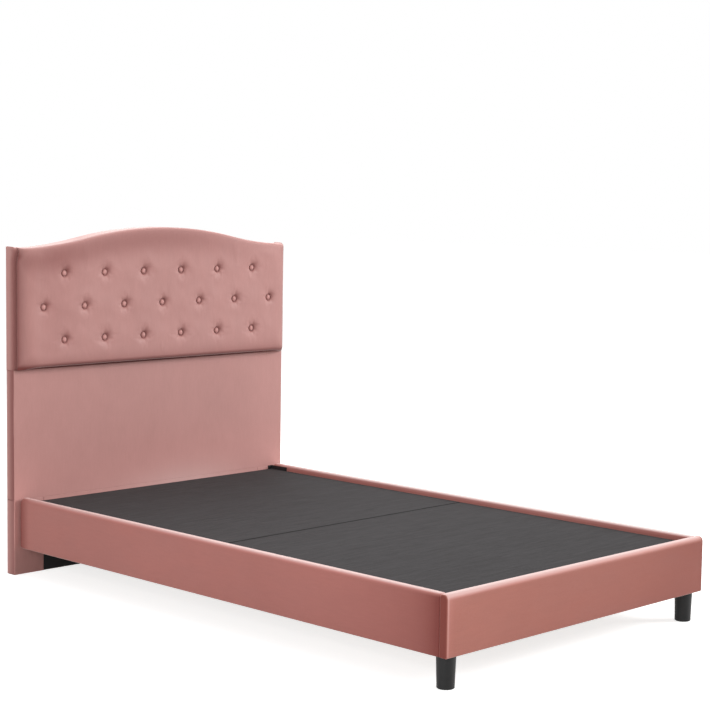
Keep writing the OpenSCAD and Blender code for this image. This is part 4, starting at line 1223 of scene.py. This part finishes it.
make_wrap("middle_velvet", "middle_cover", MIDDLE_SKIN, MIDDLE_CROWN, (True, True), lit_head_velvet)
for word, wrapped in (("left", (True, False)), ("right", (False, True))):
    make_wrap(f"base_{word}_velvet", f"base_{word}_cover", BASE_SKIN, BASE_CROWN, wrapped,
              lit_head_velvet)
make_wrap("base_front_velvet", "base_front_band", BASE_SKIN, BAND_CROWN, (False, False),
          lit_head_velvet, BAND_END)

low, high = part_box("base_front_cloth")
make_flat_cloth("base_front", level(high.z), high.x + FRONT_LINING_OUT, 0.0, high.y, low.y,
                black_lining, LINING_IN)
stapled = []
for word in ("top", "middle", "base"):
    low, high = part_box(f"{word}_back_cloth")
    if word == "top":
        outline, inset, reach = arch_z, ARCH_LINING_IN, high.x - ARCH_LINING_SIDE
        drop = BACK_R + BACK_FOLD + STAPLE_IN
    else:
        outline, inset, reach = level(high.z), LINING_IN, high.x - LINING_SIDE
        drop = inset + STAPLE_IN
    make_flat_cloth(f"{word}_back", outline, reach, low.z + LINING_IN - inset, low.y, high.y,
                    black_lining, inset)
    stapled.append((reach - inset - STAPLE_IN, low.z + STAPLE_IN,
                    lambda x, top=outline, drop=drop: top(x) - drop))
make_staples(stapled, high.y, plated)

for side, word in ((-1, "left"), (1, "right")):
    shade_side_rail(*make_rail(word, 1, (SIDE_FOOT_R, END_R), rail_velvet, side))
shade_foot_rail(*make_rail("foot", 0, (FOOT_END_R, FOOT_END_R), shaded_foot_velvet, -1, END_SQUARE))

deck_fabric = deck_cloth()
for word in ("head", "foot"):
    make_deck_cover(word, deck_fabric)

dress(timber(), "top_frame", "middle_frame", "base_frame", "left_ledge", "right_ledge", "head_ledge",
      "foot_ledge", "corner_blocks", "cross_beam", "deck_head_frame", "deck_foot_frame")
dress(particle_board(), "top_board", "middle_board", "base_board", "left_rail_board",
      "right_rail_board", "foot_rail_board", "deck_head_board", "deck_foot_board")
dress(powder_coat(), "head_brackets", "foot_brackets", "beam_saddles", "centre_leg")
dress(moulded_plastic(), "left_foot", "right_foot", "leg_insert", "levelling_pad")
dress(plated, "joining_plates", "plate_screws", "ledge_screws", "head_bracket_screws",
      "foot_bracket_screws", "saddle_screws", "leg_screws", "foot_bolts", "levelling_stem")

bpy.context.scene.view_settings.view_transform = "Standard"

bpy.context.view_layer.update()
